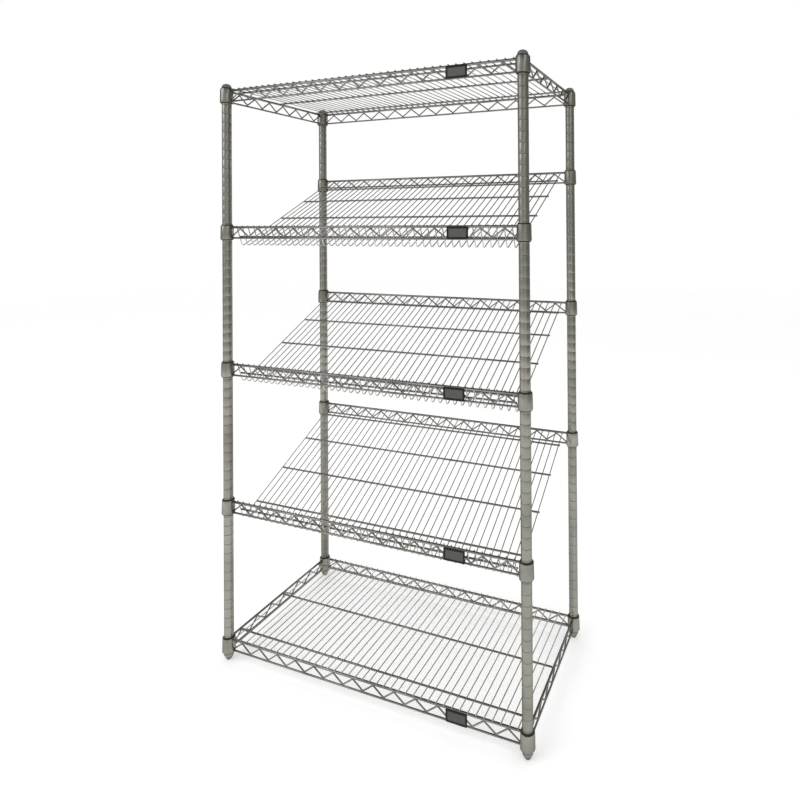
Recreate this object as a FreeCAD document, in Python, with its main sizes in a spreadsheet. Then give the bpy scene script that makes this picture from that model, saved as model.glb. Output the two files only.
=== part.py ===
import FreeCAD, Part
import math
import os
import Sketcher
from FreeCAD import Placement, Rotation, Vector

# Wire shelving rack for bread: four tube posts, a flat top shelf, a flat bottom shelf and three slanted
# shelves between them, all resting by tapered collars on split sleeves.
# Millimetres. +X is the rack's right, -Y its front, +Z up. The origin is on the floor, in the
# middle of the rack's footprint.

# --------------------------------------------------------------------------------------------------
# Driving dimensions
# --------------------------------------------------------------------------------------------------

DIMENSIONS = {
    # posts
    "rack_height": 1600.0,
    "post_spacing_wide": 876.3,
    "post_spacing_deep": 419.1,
    "post_diameter": 25.4,
    "post_wall": 1.5,
    "post_bottom_height": 13.0,
    "post_top_height": 1586.0,
    # shelf levels, measured at the middle of the front collars
    "bottom_level": 42.0,
    "shelf_step": 381.0,
    "rear_rise": 152.4,
    # tapered collars and the split sleeves inside them
    "collar_height": 38.0,
    "collar_wall": 1.9,
    "collar_bore_middle": 30.6,
    "collar_taper": 0.8,
    "sleeve_below": 24.0,
    "sleeve_above": 22.0,
    "sleeve_seat_gap": 0.05,
    "sleeve_post_fit": 0.02,
    "sleeve_slit": 1.6,
    # trusses
    "rail_diameter": 6.35,
    "rail_height": 14.0,
    "lower_rail_diameter": 5.0,
    "lower_rail_depth": 15.5,
    "zigzag_wire": 3.8,
    "zigzag_rise": 19.25,
    "weld_gap": 0.03,
    # mats
    "mat_wire": 2.8,
    "flat_wire_count": 41,
    "flat_mat_pitch": 20.8,
    "slanted_wire_count": 42,
    "slanted_mat_pitch": 19.9,
    "cross_wire": 5.0,
    "flat_cross_spacing": 170.0,
    "cross_overhang": 2.0,
    # slanted mat, measured behind the front rail and from the middle of the front collars
    "slope_foot_back": 29.4,
    "slope_foot_drop": 36.5,
    "lip_foot_back": 22.6,
    "lip_foot_drop": 33.9,
    "lip_top_back": 4.2,
    "lip_top_rise": 19.0,
    "lip_wire_drop": 14.0,
    "slope_rear_rise": 163.3,
    "slope_rear_inset": 2.25,
    # caps, inserts and feet
    "cap_rim_height": 5.0,
    "dome_shoulder_height": 10.6,
    "dome_shoulder_radius": 9.0,
    "dome_crown_radius": 2.6,
    "plug_length": 15.0,
    "plug_fit": 0.05,
    "insert_flange": 1.7,
    "insert_length": 28.0,
    "insert_bore": 10.0,
    "stem_diameter": 9.4,
    "stem_length": 44.0,
    "foot_height": 11.0,
    "foot_hexagon": 19.0,
    "foot_hexagon_height": 5.0,
    "glide_top_diameter": 18.0,
    "glide_bottom_diameter": 13.0,
    # label plates
    "label_width": 56.0,
    "label_height": 30.5,
    "label_sheet": 1.2,
    "label_hem": 4.0,
    "bottom_label_position": 262.0,
    "lower_label_position": 259.0,
    "middle_label_position": 261.0,
    "upper_label_position": 273.0,
    "top_label_position": 273.0,
}

FRONT_ZIGZAG_SPANS = 28
SIDE_ZIGZAG_SPANS = 13

# the rack has twenty collars and forty half sleeves, so their round walls are faceted
OUTER_SIDES = 16
INNER_SIDES = 12

# vertices of a hexagon whose flats lie above and below, as factors of the distance across the flats
HEXAGON = ((0.57735, 0.0), (0.288675, 0.5), (-0.288675, 0.5),
           (-0.57735, 0.0), (-0.288675, -0.5), (0.288675, -0.5))
HEXAGON_REACH = HEXAGON[0][0]

document = FreeCAD.newDocument("bread_rack")
sheet = document.addObject("Spreadsheet::Sheet", "Dimensions")
for row, (alias, value) in enumerate(DIMENSIONS.items(), start=1):
    sheet.set(f"A{row}", alias)
    sheet.set(f"B{row}", str(value))
    sheet.setAlias(f"B{row}", alias)
document.recompute()


# --------------------------------------------------------------------------------------------------
# Helpers
# --------------------------------------------------------------------------------------------------

def bound(formula):
    """The formula with every dimension's name written as a cell of the sheet."""
    for alias in sorted(DIMENSIONS, key=len, reverse=True):
        formula = formula.replace(f"#{alias}", f"Dimensions.{alias}")
    return formula


def number(formula):
    return float(sheet.evalExpression(bound(formula)))


def new_body(name):
    return document.addObject("PartDesign::Body", name)


def origin_feature(body, role):
    return next(feature for feature in body.Origin.OriginFeatures if feature.Role == role)


def new_sketch(body, name, role):
    sketch = body.newObject("Sketcher::SketchObject", name)
    sketch.AttachmentSupport = [(origin_feature(body, role), "")]
    sketch.MapMode = "FlatFace"
    return sketch


def tie_point(sketch, edge, end, corner):
    """Hold one end of a line at a point given by two formulas, measured from the sketch's origin."""
    for kind, formula in zip(("DistanceX", "DistanceY"), corner):
        index = sketch.addConstraint(Sketcher.Constraint(kind, -1, 1, edge, end, number(formula)))
        sketch.setExpression(f"Constraints[{index}]", bound(formula))


def draw_outline(sketch, corners):
    """A closed outline of straight lines through the corners."""
    first = sketch.GeometryCount
    count = len(corners)
    points = [Vector(number(across), number(up), 0) for across, up in corners]
    sketch.addGeometry([Part.LineSegment(points[i], points[(i + 1) % count]) for i in range(count)], False)
    for i, corner in enumerate(corners):
        sketch.addConstraint(Sketcher.Constraint("Coincident", first + i, 2, first + (i + 1) % count, 1))
        tie_point(sketch, first + i, 1, corner)


def draw_path(sketch, corners):
    """An open path of straight lines through the corners."""
    points = [Vector(number(across), number(up), 0) for across, up in corners]
    last = len(points) - 2
    sketch.addGeometry([Part.LineSegment(points[i], points[i + 1]) for i in range(last + 1)], False)
    for i in range(last):
        sketch.addConstraint(Sketcher.Constraint("Coincident", i, 2, i + 1, 1))
    for i, corner in enumerate(corners[:-1]):
        tie_point(sketch, i, 1, corner)
    tie_point(sketch, last, 2, corners[-1])


def hexagon(across_flats, across="0", up="0"):
    """Corners of a hexagonal wire section around a centre."""
    return [(f"{across} + {across_flats} * {x}", f"{up} + {across_flats} * {y}") for x, y in HEXAGON]


def pad(body, name, role, outlines, length):
    """Pad closed outlines by the same amount to both sides of an origin plane."""
    sketch = new_sketch(body, f"{name}_profile", role)
    for corners in outlines:
        draw_outline(sketch, corners)
    feature = body.newObject("PartDesign::Pad", name)
    feature.Profile = sketch
    feature.AllowMultiFace = True
    feature.Midplane = True
    feature.setExpression("Length", bound(length))
    document.recompute()
    return feature


def revolve(body, name, corners):
    """Turn a half profile, given as radius and height, about the body's Z axis."""
    sketch = new_sketch(body, f"{name}_profile", "XZ_Plane")
    draw_outline(sketch, corners)
    feature = body.newObject("PartDesign::Revolution", name)
    feature.Profile = sketch
    feature.ReferenceAxis = (sketch, ["V_Axis"])
    feature.Angle = 360.0
    document.recompute()
    return feature


def facet_corners(radius, sides):
    """Corners of a regular polygon whose flats lie at a radius: an outer wall turns a flat to the rails
    that meet it, and an inner one a corner."""
    turn = math.pi / sides if sides == OUTER_SIDES else 0.0
    reach = 1 / math.cos(math.pi / sides)
    corners = []
    for side in range(sides):
        angle = turn + 2 * math.pi * side / sides
        across, up = reach * math.cos(angle), reach * math.sin(angle)
        corners.append((f"{radius} * {across:.6f}", f"{radius} * {up:.6f}"))
    return corners


def prism(body, name, outlines, low, high):
    """Pad closed outlines from one height above the body's origin to another."""
    sketch = new_sketch(body, f"{name}_profile", "XY_Plane")
    sketch.setExpression("AttachmentOffset.Base.z", bound(low))
    for corners in outlines:
        draw_outline(sketch, corners)
    feature = body.newObject("PartDesign::Pad", name)
    feature.Profile = sketch
    feature.setExpression("Length", bound(f"{high} - ({low})"))
    document.recompute()
    return feature


def taper(body, feature, name, radius, slope, widens=False):
    """Draft the upright walls that lie at a radius, about the body's XY plane."""
    walls = []
    for index, face in enumerate(feature.Shape.Faces, start=1):
        normal = face.normalAt(0, 0)
        distance = abs(normal.dot(face.CenterOfMass))
        if abs(normal.z) < 1e-6 and abs(distance - number(radius)) < 0.01:
            walls.append(f"Face{index}")
    draft = body.newObject("PartDesign::Draft", name)
    draft.Base = (feature, walls)
    draft.NeutralPlane = (origin_feature(body, "XY_Plane"), [""])
    draft.setExpression("Angle", bound(f"atan({slope})"))
    draft.Reversed = widens
    document.recompute()
    return draft


def bevel(body, feature, name, height, down, inward):
    """Chamfer all edges that lie at a height, by a length down the walls and one on the face above."""
    level = number(height)
    edges = []
    for index, edge in enumerate(feature.Shape.Edges, start=1):
        if all(abs(vertex.Z - level) < 0.01 for vertex in edge.Vertexes):
            edges.append(f"Edge{index}")
    chamfer = body.newObject("PartDesign::Chamfer", name)
    chamfer.Base = (feature, edges)
    chamfer.ChamferType = "Two distances"
    chamfer.setExpression("Size", bound(down))
    chamfer.setExpression("Size2", bound(inward))
    document.recompute()
    return chamfer


def pattern_across(body, feature, name, pitch, count):
    """Repeat a feature along X at a pitch."""
    pattern = body.newObject("PartDesign::LinearPattern", name)
    pattern.Originals = [feature]
    pattern.Direction = (origin_feature(body, "X_Axis"), [""])
    pattern.setExpression("Length", bound(f"{pitch} * ({count} - 1)"))
    pattern.setExpression("Occurrences", bound(count))
    body.Tip = pattern
    document.recompute()
    return pattern


def place(label, members, height="0"):
    """A sub-part made of placed copies of bodies: (body, x, y, z, turn about Z in degrees)."""
    links = []
    for index, (body, x, y, z, turn) in enumerate(members):
        link = document.addObject("App::Link", f"{label}_{index + 1}")
        link.LinkedObject = body
        link.Placement = Placement(Vector(0, 0, 0), Rotation(Vector(0, 0, 1), turn))
        link.setExpression("Placement.Base.x", bound(x))
        link.setExpression("Placement.Base.y", bound(y))
        link.setExpression("Placement.Base.z", bound(z))
        links.append(link)
    sub_part = document.addObject("Part::Compound", label)
    sub_part.Label = label
    sub_part.Links = links
    sub_part.setExpression("Placement.Base.z", bound(height))
    sub_parts.append(sub_part)


sub_parts = []

LEFT, RIGHT = "-#post_spacing_wide / 2", "#post_spacing_wide / 2"
FRONT, REAR = "-#post_spacing_deep / 2", "#post_spacing_deep / 2"
CORNERS = {
    "front_left": (LEFT, FRONT),
    "front_right": (RIGHT, FRONT),
    "rear_left": (LEFT, REAR),
    "rear_right": (RIGHT, REAR),
}

# --------------------------------------------------------------------------------------------------
# Posts, caps, inserts and levelling feet
# --------------------------------------------------------------------------------------------------

POST_RADIUS = "#post_diameter / 2"
TUBE_BORE = "(#post_diameter / 2 - #post_wall)"
# faceted pieces keep inside round walls, so their flats lie a little further in than their corners
FACET_DEPTH = f"{math.cos(math.pi / INNER_SIDES):.6f}"
PLUG_RADIUS = f"({TUBE_BORE} - #plug_fit) * {FACET_DEPTH}"
FLANGE_RADIUS = f"({POST_RADIUS} * {FACET_DEPTH})"


def make_post():
    """Steel tube, open at both ends."""
    body = new_body("post")
    revolve(body, "tube", [
        (TUBE_BORE, "#post_bottom_height"),
        (POST_RADIUS, "#post_bottom_height"),
        (POST_RADIUS, "#post_top_height"),
        (TUBE_BORE, "#post_top_height"),
    ])
    return body


def make_cap():
    """Plastic cap: a rim flush with the tube, a dome on the rim and a plug inside the tube."""
    body = new_body("post_cap")
    dome_top = "(#rack_height - #post_top_height)"
    fall = f"(({dome_top} - #dome_shoulder_height) / (#dome_shoulder_radius - #dome_crown_radius))"
    crown_width = f"({FLANGE_RADIUS} - #dome_crown_radius)"
    crown_foot = f"({dome_top} - {fall} * {crown_width})"
    shoulder_width = f"({FLANGE_RADIUS} - #dome_shoulder_radius)"
    outline = facet_corners(FLANGE_RADIUS, INNER_SIDES)
    blank = prism(body, "dome_blank", [outline], "0", dome_top)
    crown = bevel(body, blank, "crown", dome_top, f"{fall} * {crown_width}", crown_width)
    bevel(body, crown, "shoulder", crown_foot, f"{crown_foot} - #cap_rim_height",
          f"{shoulder_width} * sqrt(1 + pow({fall}; 2))")
    prism(body, "plug", [facet_corners(PLUG_RADIUS, INNER_SIDES)], "-#plug_length", "0")
    return body


def make_insert():
    """Threaded insert: a barrel pressed into the tube, with a flange under the tube's end."""
    body = new_body("foot_insert")
    bore = facet_corners("#insert_bore / 2", INNER_SIDES)
    prism(body, "flange", [facet_corners(FLANGE_RADIUS, INNER_SIDES), bore], "-#insert_flange", "0")
    prism(body, "barrel", [facet_corners(PLUG_RADIUS, INNER_SIDES), bore], "0", "#insert_length")
    return body


def make_foot():
    """Levelling foot: tapered glide on the floor, hexagon for a spanner, and a stem in the insert."""
    body = new_body("levelling_foot")
    hexagon_bottom = "(#foot_height - #foot_hexagon_height)"
    tip = "#glide_bottom_diameter / 2"
    glide = prism(body, "glide", [facet_corners(tip, OUTER_SIDES)], "0", hexagon_bottom)
    slope = f"(#glide_top_diameter / 2 - {tip}) / {hexagon_bottom}"
    taper(body, glide, "glide_taper", tip, slope, widens=True)
    prism(body, "spanner_hexagon", [hexagon("#foot_hexagon")], hexagon_bottom, "#foot_height")
    stem = facet_corners(f"#stem_diameter / 2 * {FACET_DEPTH}", INNER_SIDES)
    prism(body, "stem", [stem], "#foot_height", "#foot_height + #stem_length")
    return body


post, cap, insert, foot = make_post(), make_cap(), make_insert(), make_foot()
for corner, (x, y) in CORNERS.items():
    place(f"post_{corner}", [(post, x, y, "0", 0)])
    place(f"post_cap_{corner}", [(cap, x, y, "#post_top_height", 0)])
    place(f"foot_insert_{corner}", [(insert, x, y, "#post_bottom_height", 0)])
    place(f"levelling_foot_{corner}", [(foot, x, y, "0", 0)])

# --------------------------------------------------------------------------------------------------
# Tapered collars and split sleeves
# --------------------------------------------------------------------------------------------------


COLLAR_SLOPE = "(#collar_taper / #collar_height)"


def collar_bore(height):
    """Radius of the collar's bore at a height above the collar's middle: it narrows upwards."""
    return f"(#collar_bore_middle / 2 - {COLLAR_SLOPE} * ({height}))"


def collar_outside(height):
    return f"({collar_bore(height)} + #collar_wall)"


def make_collar():
    """Conical ring welded to a shelf's corner."""
    body = new_body("collar")
    outside, bore = collar_outside("0"), collar_bore("0")
    outlines = [facet_corners(outside, OUTER_SIDES), facet_corners(bore, INNER_SIDES)]
    ring = prism(body, "ring", outlines, "-#collar_height / 2", "#collar_height / 2")
    cone_outside = taper(body, ring, "cone_outside", outside, COLLAR_SLOPE)
    taper(body, cone_outside, "cone_bore", bore, COLLAR_SLOPE, widens=True)
    return body


def half_ring(outside, inside):
    """Outline of the half of a faceted ring that lies towards +Y, short of the slit along X."""
    slit = "#sleeve_slit / 2"
    half_turn = math.pi / INNER_SIDES
    outer, inner = [], []
    for radius, corners in ((outside, outer), (inside, inner)):
        at_slit = f"({radius} - {slit} * {math.sin(half_turn):.6f}) * {1 / math.cos(half_turn):.6f}"
        corners.append((at_slit, slit))
        corners.extend(facet_corners(radius, INNER_SIDES)[1:INNER_SIDES // 2])
        corners.append((f"-{at_slit}", slit))
    return outer + inner[::-1]


def make_half_sleeve():
    """One half of a split sleeve: straight inside against the post, tapered outside like the collar."""
    body = new_body("half_sleeve")
    outside = f"({collar_bore('0')} - #sleeve_seat_gap)"
    outline = half_ring(outside, f"({POST_RADIUS} + #sleeve_post_fit)")
    shell = prism(body, "half_shell", [outline], "-#sleeve_below", "#sleeve_above")
    taper(body, shell, "half_shell_taper", outside, COLLAR_SLOPE)
    return body


def at_corners(body, rear_height, turns):
    """A body at all four corners of a shelf, once for each turn about its own axis."""
    members = []
    for corner, (x, y) in CORNERS.items():
        height = rear_height if corner.startswith("rear") else "0"
        members += [(body, x, y, height, turn) for turn in turns]
    return members


collar, half_sleeve = make_collar(), make_half_sleeve()
SLEEVE_TURNS = (0, 180)

# --------------------------------------------------------------------------------------------------
# Trusses: two rails with a zigzag wire between them, welded between two collars
# --------------------------------------------------------------------------------------------------


def make_truss(name, spacing, spans):
    """Truss between two collars that stand a given spacing apart, running along X."""
    body = new_body(name)
    rail_underside = "(#rail_height - #rail_diameter / 2)"
    lower_underside = "(-#lower_rail_depth - #lower_rail_diameter / 2)"
    lower_top = "(-#lower_rail_depth + #lower_rail_diameter / 2)"
    pad(body, "upper_rail", "YZ_Plane", [hexagon("#rail_diameter", up="#rail_height")],
        f"{spacing} - 2 * ({collar_outside(rail_underside)} + #weld_gap)")
    pad(body, "lower_rail", "YZ_Plane", [hexagon("#lower_rail_diameter", up="-#lower_rail_depth")],
        f"{spacing} - 2 * ({collar_outside(lower_underside)} + #weld_gap)")
    reach = f"({spacing} / 2 - {collar_outside(lower_underside)} - #weld_gap)"
    run = f"(2 * {reach} / {spans})"
    middle = f"({rail_underside} + {lower_top}) / 2"
    half_wire = f"#zigzag_wire / 2 * sqrt(1 + pow(#zigzag_rise / {run}; 2))"
    upper_edge, lower_edge = [], []
    for bend in range(spans + 1):
        along = f"-{reach} + {bend} * {run}"
        side = "-" if bend % 2 == 0 else "+"
        centre = f"{middle} {side} #zigzag_rise / 2"
        upper_edge.append((along, f"{centre} + {half_wire}"))
        lower_edge.append((along, f"{centre} - {half_wire}"))
    pad(body, "zigzag", "XZ_Plane", [upper_edge + lower_edge[::-1]], "#zigzag_wire")
    return body


long_truss = make_truss("long_truss", "#post_spacing_wide", FRONT_ZIGZAG_SPANS)
side_truss = make_truss("side_truss", "#post_spacing_deep", SIDE_ZIGZAG_SPANS)

# --------------------------------------------------------------------------------------------------
# Mats
# --------------------------------------------------------------------------------------------------


def make_flat_wires():
    """Straight front-to-back wires that lie on the upper rails of the front and rear trusses."""
    body = new_body("flat_wires")
    underside = "(#rail_height + #rail_diameter / 2)"
    half = "#mat_wire / 2"
    first = pad(body, "flat_wire", "XZ_Plane", [[
        (f"-{half}", underside),
        (half, underside),
        (half, f"{underside} + #mat_wire"),
        (f"-{half}", f"{underside} + #mat_wire"),
    ]], "#post_spacing_deep + #rail_diameter")
    pattern_across(body, first, "flat_wire_row", "#flat_mat_pitch", "#flat_wire_count")
    return body


def make_flat_cross_wires():
    """Three cross wires under the flat wires, welded between the side trusses."""
    body = new_body("flat_cross_wires")
    height = "(#rail_height + #rail_diameter / 2 - #cross_wire / 2)"
    rows = ("-#flat_cross_spacing", "0", "#flat_cross_spacing")
    pad(body, "cross_wire_row", "YZ_Plane",
        [hexagon("#cross_wire", across=row, up=height) for row in rows],
        f"#post_spacing_wide - 2 * (#rail_diameter * {HEXAGON_REACH} + #weld_gap)")
    return body


SLOPE_FOOT = (f"({FRONT} + #slope_foot_back)", "(-#slope_foot_drop)")
SLOPE_HEAD = ("(#post_spacing_deep / 2)", "(#slope_rear_rise)")
SLOPE = f"(({SLOPE_HEAD[1]} - {SLOPE_FOOT[1]}) / ({SLOPE_HEAD[0]} - {SLOPE_FOOT[0]}))"
SLOPE_REACH = "(#post_spacing_deep - #slope_rear_inset)"


def on_slope(back):
    """Height of a slanted wire's centre line at a distance behind the front rail."""
    return f"({SLOPE_FOOT[1]} + {SLOPE} * ({back} - #slope_foot_back))"


def make_slanted_wires():
    """Wires that run down from the rear truss and turn up behind the front truss as a lip."""
    body = new_body("slanted_wires")
    path = new_sketch(body, "wire_path", "YZ_Plane")
    draw_path(path, [
        (f"{FRONT} + {SLOPE_REACH}", on_slope(SLOPE_REACH)),
        SLOPE_FOOT,
        (f"{FRONT} + #lip_foot_back", "-#lip_foot_drop"),
        (f"{FRONT} + #lip_top_back", "#lip_top_rise"),
    ])
    section = new_sketch(body, "wire_section", "XZ_Plane")
    section.setExpression("AttachmentOffset.Base.z", bound(f"-({FRONT} + {SLOPE_REACH})"))
    half = "#mat_wire / 2"
    upright = f"{half} * sqrt(1 + pow({SLOPE}; 2))"
    draw_outline(section, [
        (f"-{half}", f"{on_slope(SLOPE_REACH)} - {upright}"),
        (half, f"{on_slope(SLOPE_REACH)} - {upright}"),
        (half, f"{on_slope(SLOPE_REACH)} + {upright}"),
        (f"-{half}", f"{on_slope(SLOPE_REACH)} + {upright}"),
    ])
    document.recompute()
    sweep = body.newObject("PartDesign::AdditivePipe", "slanted_wire")
    sweep.Profile = section
    sweep.Spine = (path, [f"Edge{edge + 1}" for edge in range(path.GeometryCount)])
    sweep.Transition = "Right corner"
    document.recompute()
    pattern_across(body, sweep, "slanted_wire_row", "#slanted_mat_pitch", "#slanted_wire_count")
    return body


# distances of the cross wires behind the front rail
SLANTED_CROSS_WIRES = (76.0, 184.0, 288.6, 382.0)


def make_slanted_cross_wires():
    """Four cross wires under the slope, and one behind the lip."""
    body = new_body("slanted_cross_wires")
    offset = f"(#mat_wire / 2 + #cross_wire * {HEXAGON_REACH} + #weld_gap)"
    under = f"{offset} * sqrt(1 + pow({SLOPE}; 2))"
    centres = [(f"{FRONT} + {back}", f"{on_slope(back)} - {under}") for back in SLANTED_CROSS_WIRES]
    lean = "((#lip_foot_back - #lip_top_back) / (#lip_foot_drop + #lip_top_rise))"
    lip_back = f"(#lip_foot_back - {lean} * (#lip_foot_drop - #lip_wire_drop))"
    behind = f"{offset} * sqrt(1 + pow({lean}; 2))"
    centres.append((f"{FRONT} + {lip_back} + {behind}", "-#lip_wire_drop"))
    pad(body, "cross_wire_row", "YZ_Plane",
        [hexagon("#cross_wire", across=across, up=up) for across, up in centres],
        "#slanted_mat_pitch * (#slanted_wire_count - 1) + #mat_wire + 2 * #cross_overhang")
    return body


flat_wires, flat_cross_wires = make_flat_wires(), make_flat_cross_wires()
slanted_wires, slanted_cross_wires = make_slanted_wires(), make_slanted_cross_wires()

# --------------------------------------------------------------------------------------------------
# Label plate: a strip on the front of both rails of a front truss
# --------------------------------------------------------------------------------------------------


def make_label_plate():
    """Flat strip whose lower edge is hemmed, so that it lies on the thinner lower rail as well."""
    body = new_body("label_plate")
    upper_seat = f"(-#rail_diameter * {HEXAGON_REACH} - #weld_gap)"
    lower_seat = f"(-#lower_rail_diameter * {HEXAGON_REACH} - #weld_gap)"
    face = f"({upper_seat} - #label_sheet)"
    middle = "(#rail_height - #lower_rail_depth) / 2"
    bottom = f"({middle} - #label_height / 2)"
    top = f"({middle} + #label_height / 2)"
    pad(body, "hemmed_strip", "YZ_Plane", [[
        (face, bottom),
        (lower_seat, bottom),
        (lower_seat, f"{bottom} + #label_hem"),
        (upper_seat, f"{bottom} + #label_hem"),
        (upper_seat, top),
        (face, top),
    ]], "#label_width")
    return body


label_plate = make_label_plate()

# --------------------------------------------------------------------------------------------------
# Shelves
# --------------------------------------------------------------------------------------------------


def make_shelf(name, step, slanted):
    """All sub-parts of one shelf, with its split sleeves, at a number of steps above the bottom one."""
    height = f"#bottom_level + {step} * #shelf_step"
    rear_height = "#rear_rise" if slanted else "0"
    kind = "slanted" if slanted else "flat"
    wires = slanted_wires if slanted else flat_wires
    cross_wires = slanted_cross_wires if slanted else flat_cross_wires
    first_wire = f"-#{kind}_mat_pitch * (#{kind}_wire_count - 1) / 2"
    place(f"{name}_shelf_mat", [(wires, first_wire, "0", "0", 0), (cross_wires, "0", "0", "0", 0)], height)
    place(f"{name}_shelf_front_truss", [(long_truss, "0", FRONT, "0", 0)], height)
    place(f"{name}_shelf_rear_truss", [(long_truss, "0", REAR, rear_height, 0)], height)
    if not slanted:
        place(f"{name}_shelf_left_truss", [(side_truss, LEFT, "0", "0", 90)], height)
        place(f"{name}_shelf_right_truss", [(side_truss, RIGHT, "0", "0", 90)], height)
    place(f"{name}_shelf_collars", at_corners(collar, rear_height, (0,)), height)
    place(f"{name}_shelf_split_sleeves", at_corners(half_sleeve, rear_height, SLEEVE_TURNS), height)
    place(f"{name}_shelf_label_plate", [(label_plate, f"#{name}_label_position", FRONT, "0", 0)], height)


make_shelf("bottom", 0, slanted=False)
make_shelf("lower", 1, slanted=True)
make_shelf("middle", 2, slanted=True)
make_shelf("upper", 3, slanted=True)
make_shelf("top", 4, slanted=False)

# --------------------------------------------------------------------------------------------------
# Check and export
# --------------------------------------------------------------------------------------------------

document.recompute()
for item in document.Objects:
    if "Invalid" in item.State or "Error" in item.State:
        raise RuntimeError(f"{item.Label} failed: {item.State}")
for sub_part in sub_parts:
    if sub_part.Shape.isNull() or not sub_part.Shape.isValid():
        raise RuntimeError(f"{sub_part.Label} has no valid shape")
    if sub_part.Shape.Volume <= 0:
        raise RuntimeError(f"{sub_part.Label} is inside out")

os.makedirs("parts", exist_ok=True)
for sub_part in sub_parts:
    sub_part.Shape.exportStep(f"parts/{sub_part.Label}.step")
print(f"{len(sub_parts)} sub-parts written")
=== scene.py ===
"""Looks of a wire bakery rack: five shelves on four grooved posts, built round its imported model."""

import logging
import math
from dataclasses import dataclass, field
from enum import Enum

import bpy
import numpy as np
from mathutils import Matrix, Vector


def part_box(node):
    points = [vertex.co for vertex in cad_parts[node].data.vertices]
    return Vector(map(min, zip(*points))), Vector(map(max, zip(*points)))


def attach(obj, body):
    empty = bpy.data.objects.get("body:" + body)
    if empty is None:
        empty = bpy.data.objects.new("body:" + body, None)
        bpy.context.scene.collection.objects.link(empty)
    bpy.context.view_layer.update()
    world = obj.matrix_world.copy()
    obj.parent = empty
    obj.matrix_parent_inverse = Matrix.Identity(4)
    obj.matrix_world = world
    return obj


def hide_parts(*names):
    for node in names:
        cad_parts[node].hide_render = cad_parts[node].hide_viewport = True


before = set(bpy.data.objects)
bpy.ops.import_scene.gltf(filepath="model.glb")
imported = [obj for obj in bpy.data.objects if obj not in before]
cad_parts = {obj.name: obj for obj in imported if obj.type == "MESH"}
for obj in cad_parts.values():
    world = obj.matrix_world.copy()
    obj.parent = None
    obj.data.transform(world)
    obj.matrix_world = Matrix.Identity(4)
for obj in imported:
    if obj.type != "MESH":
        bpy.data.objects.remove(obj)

MM = 0.001
BLACK, WHITE = (0.0, 0.0, 0.0, 1.0), (1.0, 1.0, 1.0, 1.0)
RELIEF_HEIGHT = 0.1 * MM   # height of the finest relief of every finish
THIN_SIDES, CROSS_SIDES, RAIL_SIDES = 10, 12, 14   # points round a thin wire, a 5 mm wire and a rail
MIX_PLACES = {"FLOAT": (2, 3, 0), "RGBA": (6, 7, 2)}   # a mix's two inputs and its output, by kind
Point = tuple[float, float, float]
Colour = tuple[float, float, float]
log = logging.getLogger("bread_rack")


# ---------------------------------------------------------------------------------------------------
# Named choices
# ---------------------------------------------------------------------------------------------------

class Slot(Enum):
    """Names of material slots."""

    POST = "post_steel"
    WIRE = "wire_chrome"
    PLASTIC = "dark_plastic"
    LABEL = "label_plastic"
    INSERT = "insert_metal"
    FOOT = "foot_steel"


class Side(Enum):
    """Sides of a shelf."""

    FRONT = "front"
    REAR = "rear"
    LEFT = "left"
    RIGHT = "right"


class Corner(Enum):
    """Posts of the rack."""

    FRONT_LEFT = "front_left"
    FRONT_RIGHT = "front_right"
    REAR_LEFT = "rear_left"
    REAR_RIGHT = "rear_right"

    def side(self) -> Side:
        """The front or the rear."""
        return Side(self.value.split("_")[0])


class ShelfForm(Enum):
    """How a shelf's mat lies between its trusses."""

    FLAT = "flat"
    SLANTED = "slanted"


# ---------------------------------------------------------------------------------------------------
# Surfaces as whole arrays
# ---------------------------------------------------------------------------------------------------

@dataclass
class Surface:
    """Points and faces of a mesh, held as whole arrays.

    Args:
        points: one row of x, y and z for each point, in metres.
        faces: arrays of point numbers, one for each number of corners.
    """

    points: np.ndarray
    faces: list[np.ndarray]

    def copied(self, offsets: np.ndarray) -> "Surface":
        """One copy of the surface for each offset.

        Args:
            offsets: one row of x, y and z for each copy.

        Returns:
            All copies as one surface: every point plus every offset.
        """
        offsets = np.atleast_2d(offsets)
        points = (self.points[None] + offsets[:, None]).reshape(-1, 3)
        steps = np.arange(len(offsets))[:, None, None] * len(self.points)
        faces = [(group[None] + steps).reshape(-1, group.shape[1]) for group in self.faces]
        return Surface(points, faces)

    def face_count(self) -> int:
        """Number of faces of the surface."""
        return sum(len(group) for group in self.faces)

    def turned(self, angle: float) -> "Surface":
        """The surface turned about Z: x and y become x cos a - y sin a and x sin a + y cos a.

        Args:
            angle: the turn in radians.

        Returns:
            The turned surface.
        """
        cosine, sine = math.cos(angle), math.sin(angle)
        turn = np.array([[cosine, sine, 0.0], [-sine, cosine, 0.0], [0.0, 0.0, 1.0]])
        return Surface(self.points @ turn, self.faces)

    def volume(self) -> float:
        """Volume inside the surface: the sum over the fan triangles of each face of a . (b x c) / 6.

        Returns:
            The volume, which is below zero where the faces point inwards.
        """
        total = 0.0
        for group in self.faces:
            first = self.points[group[:, 0]]
            for corner in range(1, group.shape[1] - 1):
                second, third = self.points[group[:, corner]], self.points[group[:, corner + 1]]
                total += float(np.einsum("ij,ij->", first, np.cross(second, third))) / 6.0
        return total

    def outward(self) -> "Surface":
        """The surface with its faces turned to point outwards.

        Returns:
            The surface as it is where its volume is positive, and otherwise with every face reversed.
        """
        if self.volume() >= 0.0:
            return self
        return Surface(self.points, [group[:, ::-1] for group in self.faces])


def joined(parts: list[Surface]) -> Surface:
    """Several surfaces as one.

    Args:
        parts: the surfaces.

    Returns:
        One surface, with the parts' point numbers shifted past each other.
    """
    points = np.concatenate([part.points for part in parts])
    starts = np.cumsum([0] + [len(part.points) for part in parts[:-1]])
    faces = [group + start for part, start in zip(parts, starts) for group in part.faces]
    return Surface(points, faces)


def unit(vectors: np.ndarray) -> np.ndarray:
    """Each vector divided by its length."""
    return vectors / np.linalg.norm(vectors, axis=-1, keepdims=True)


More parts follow.
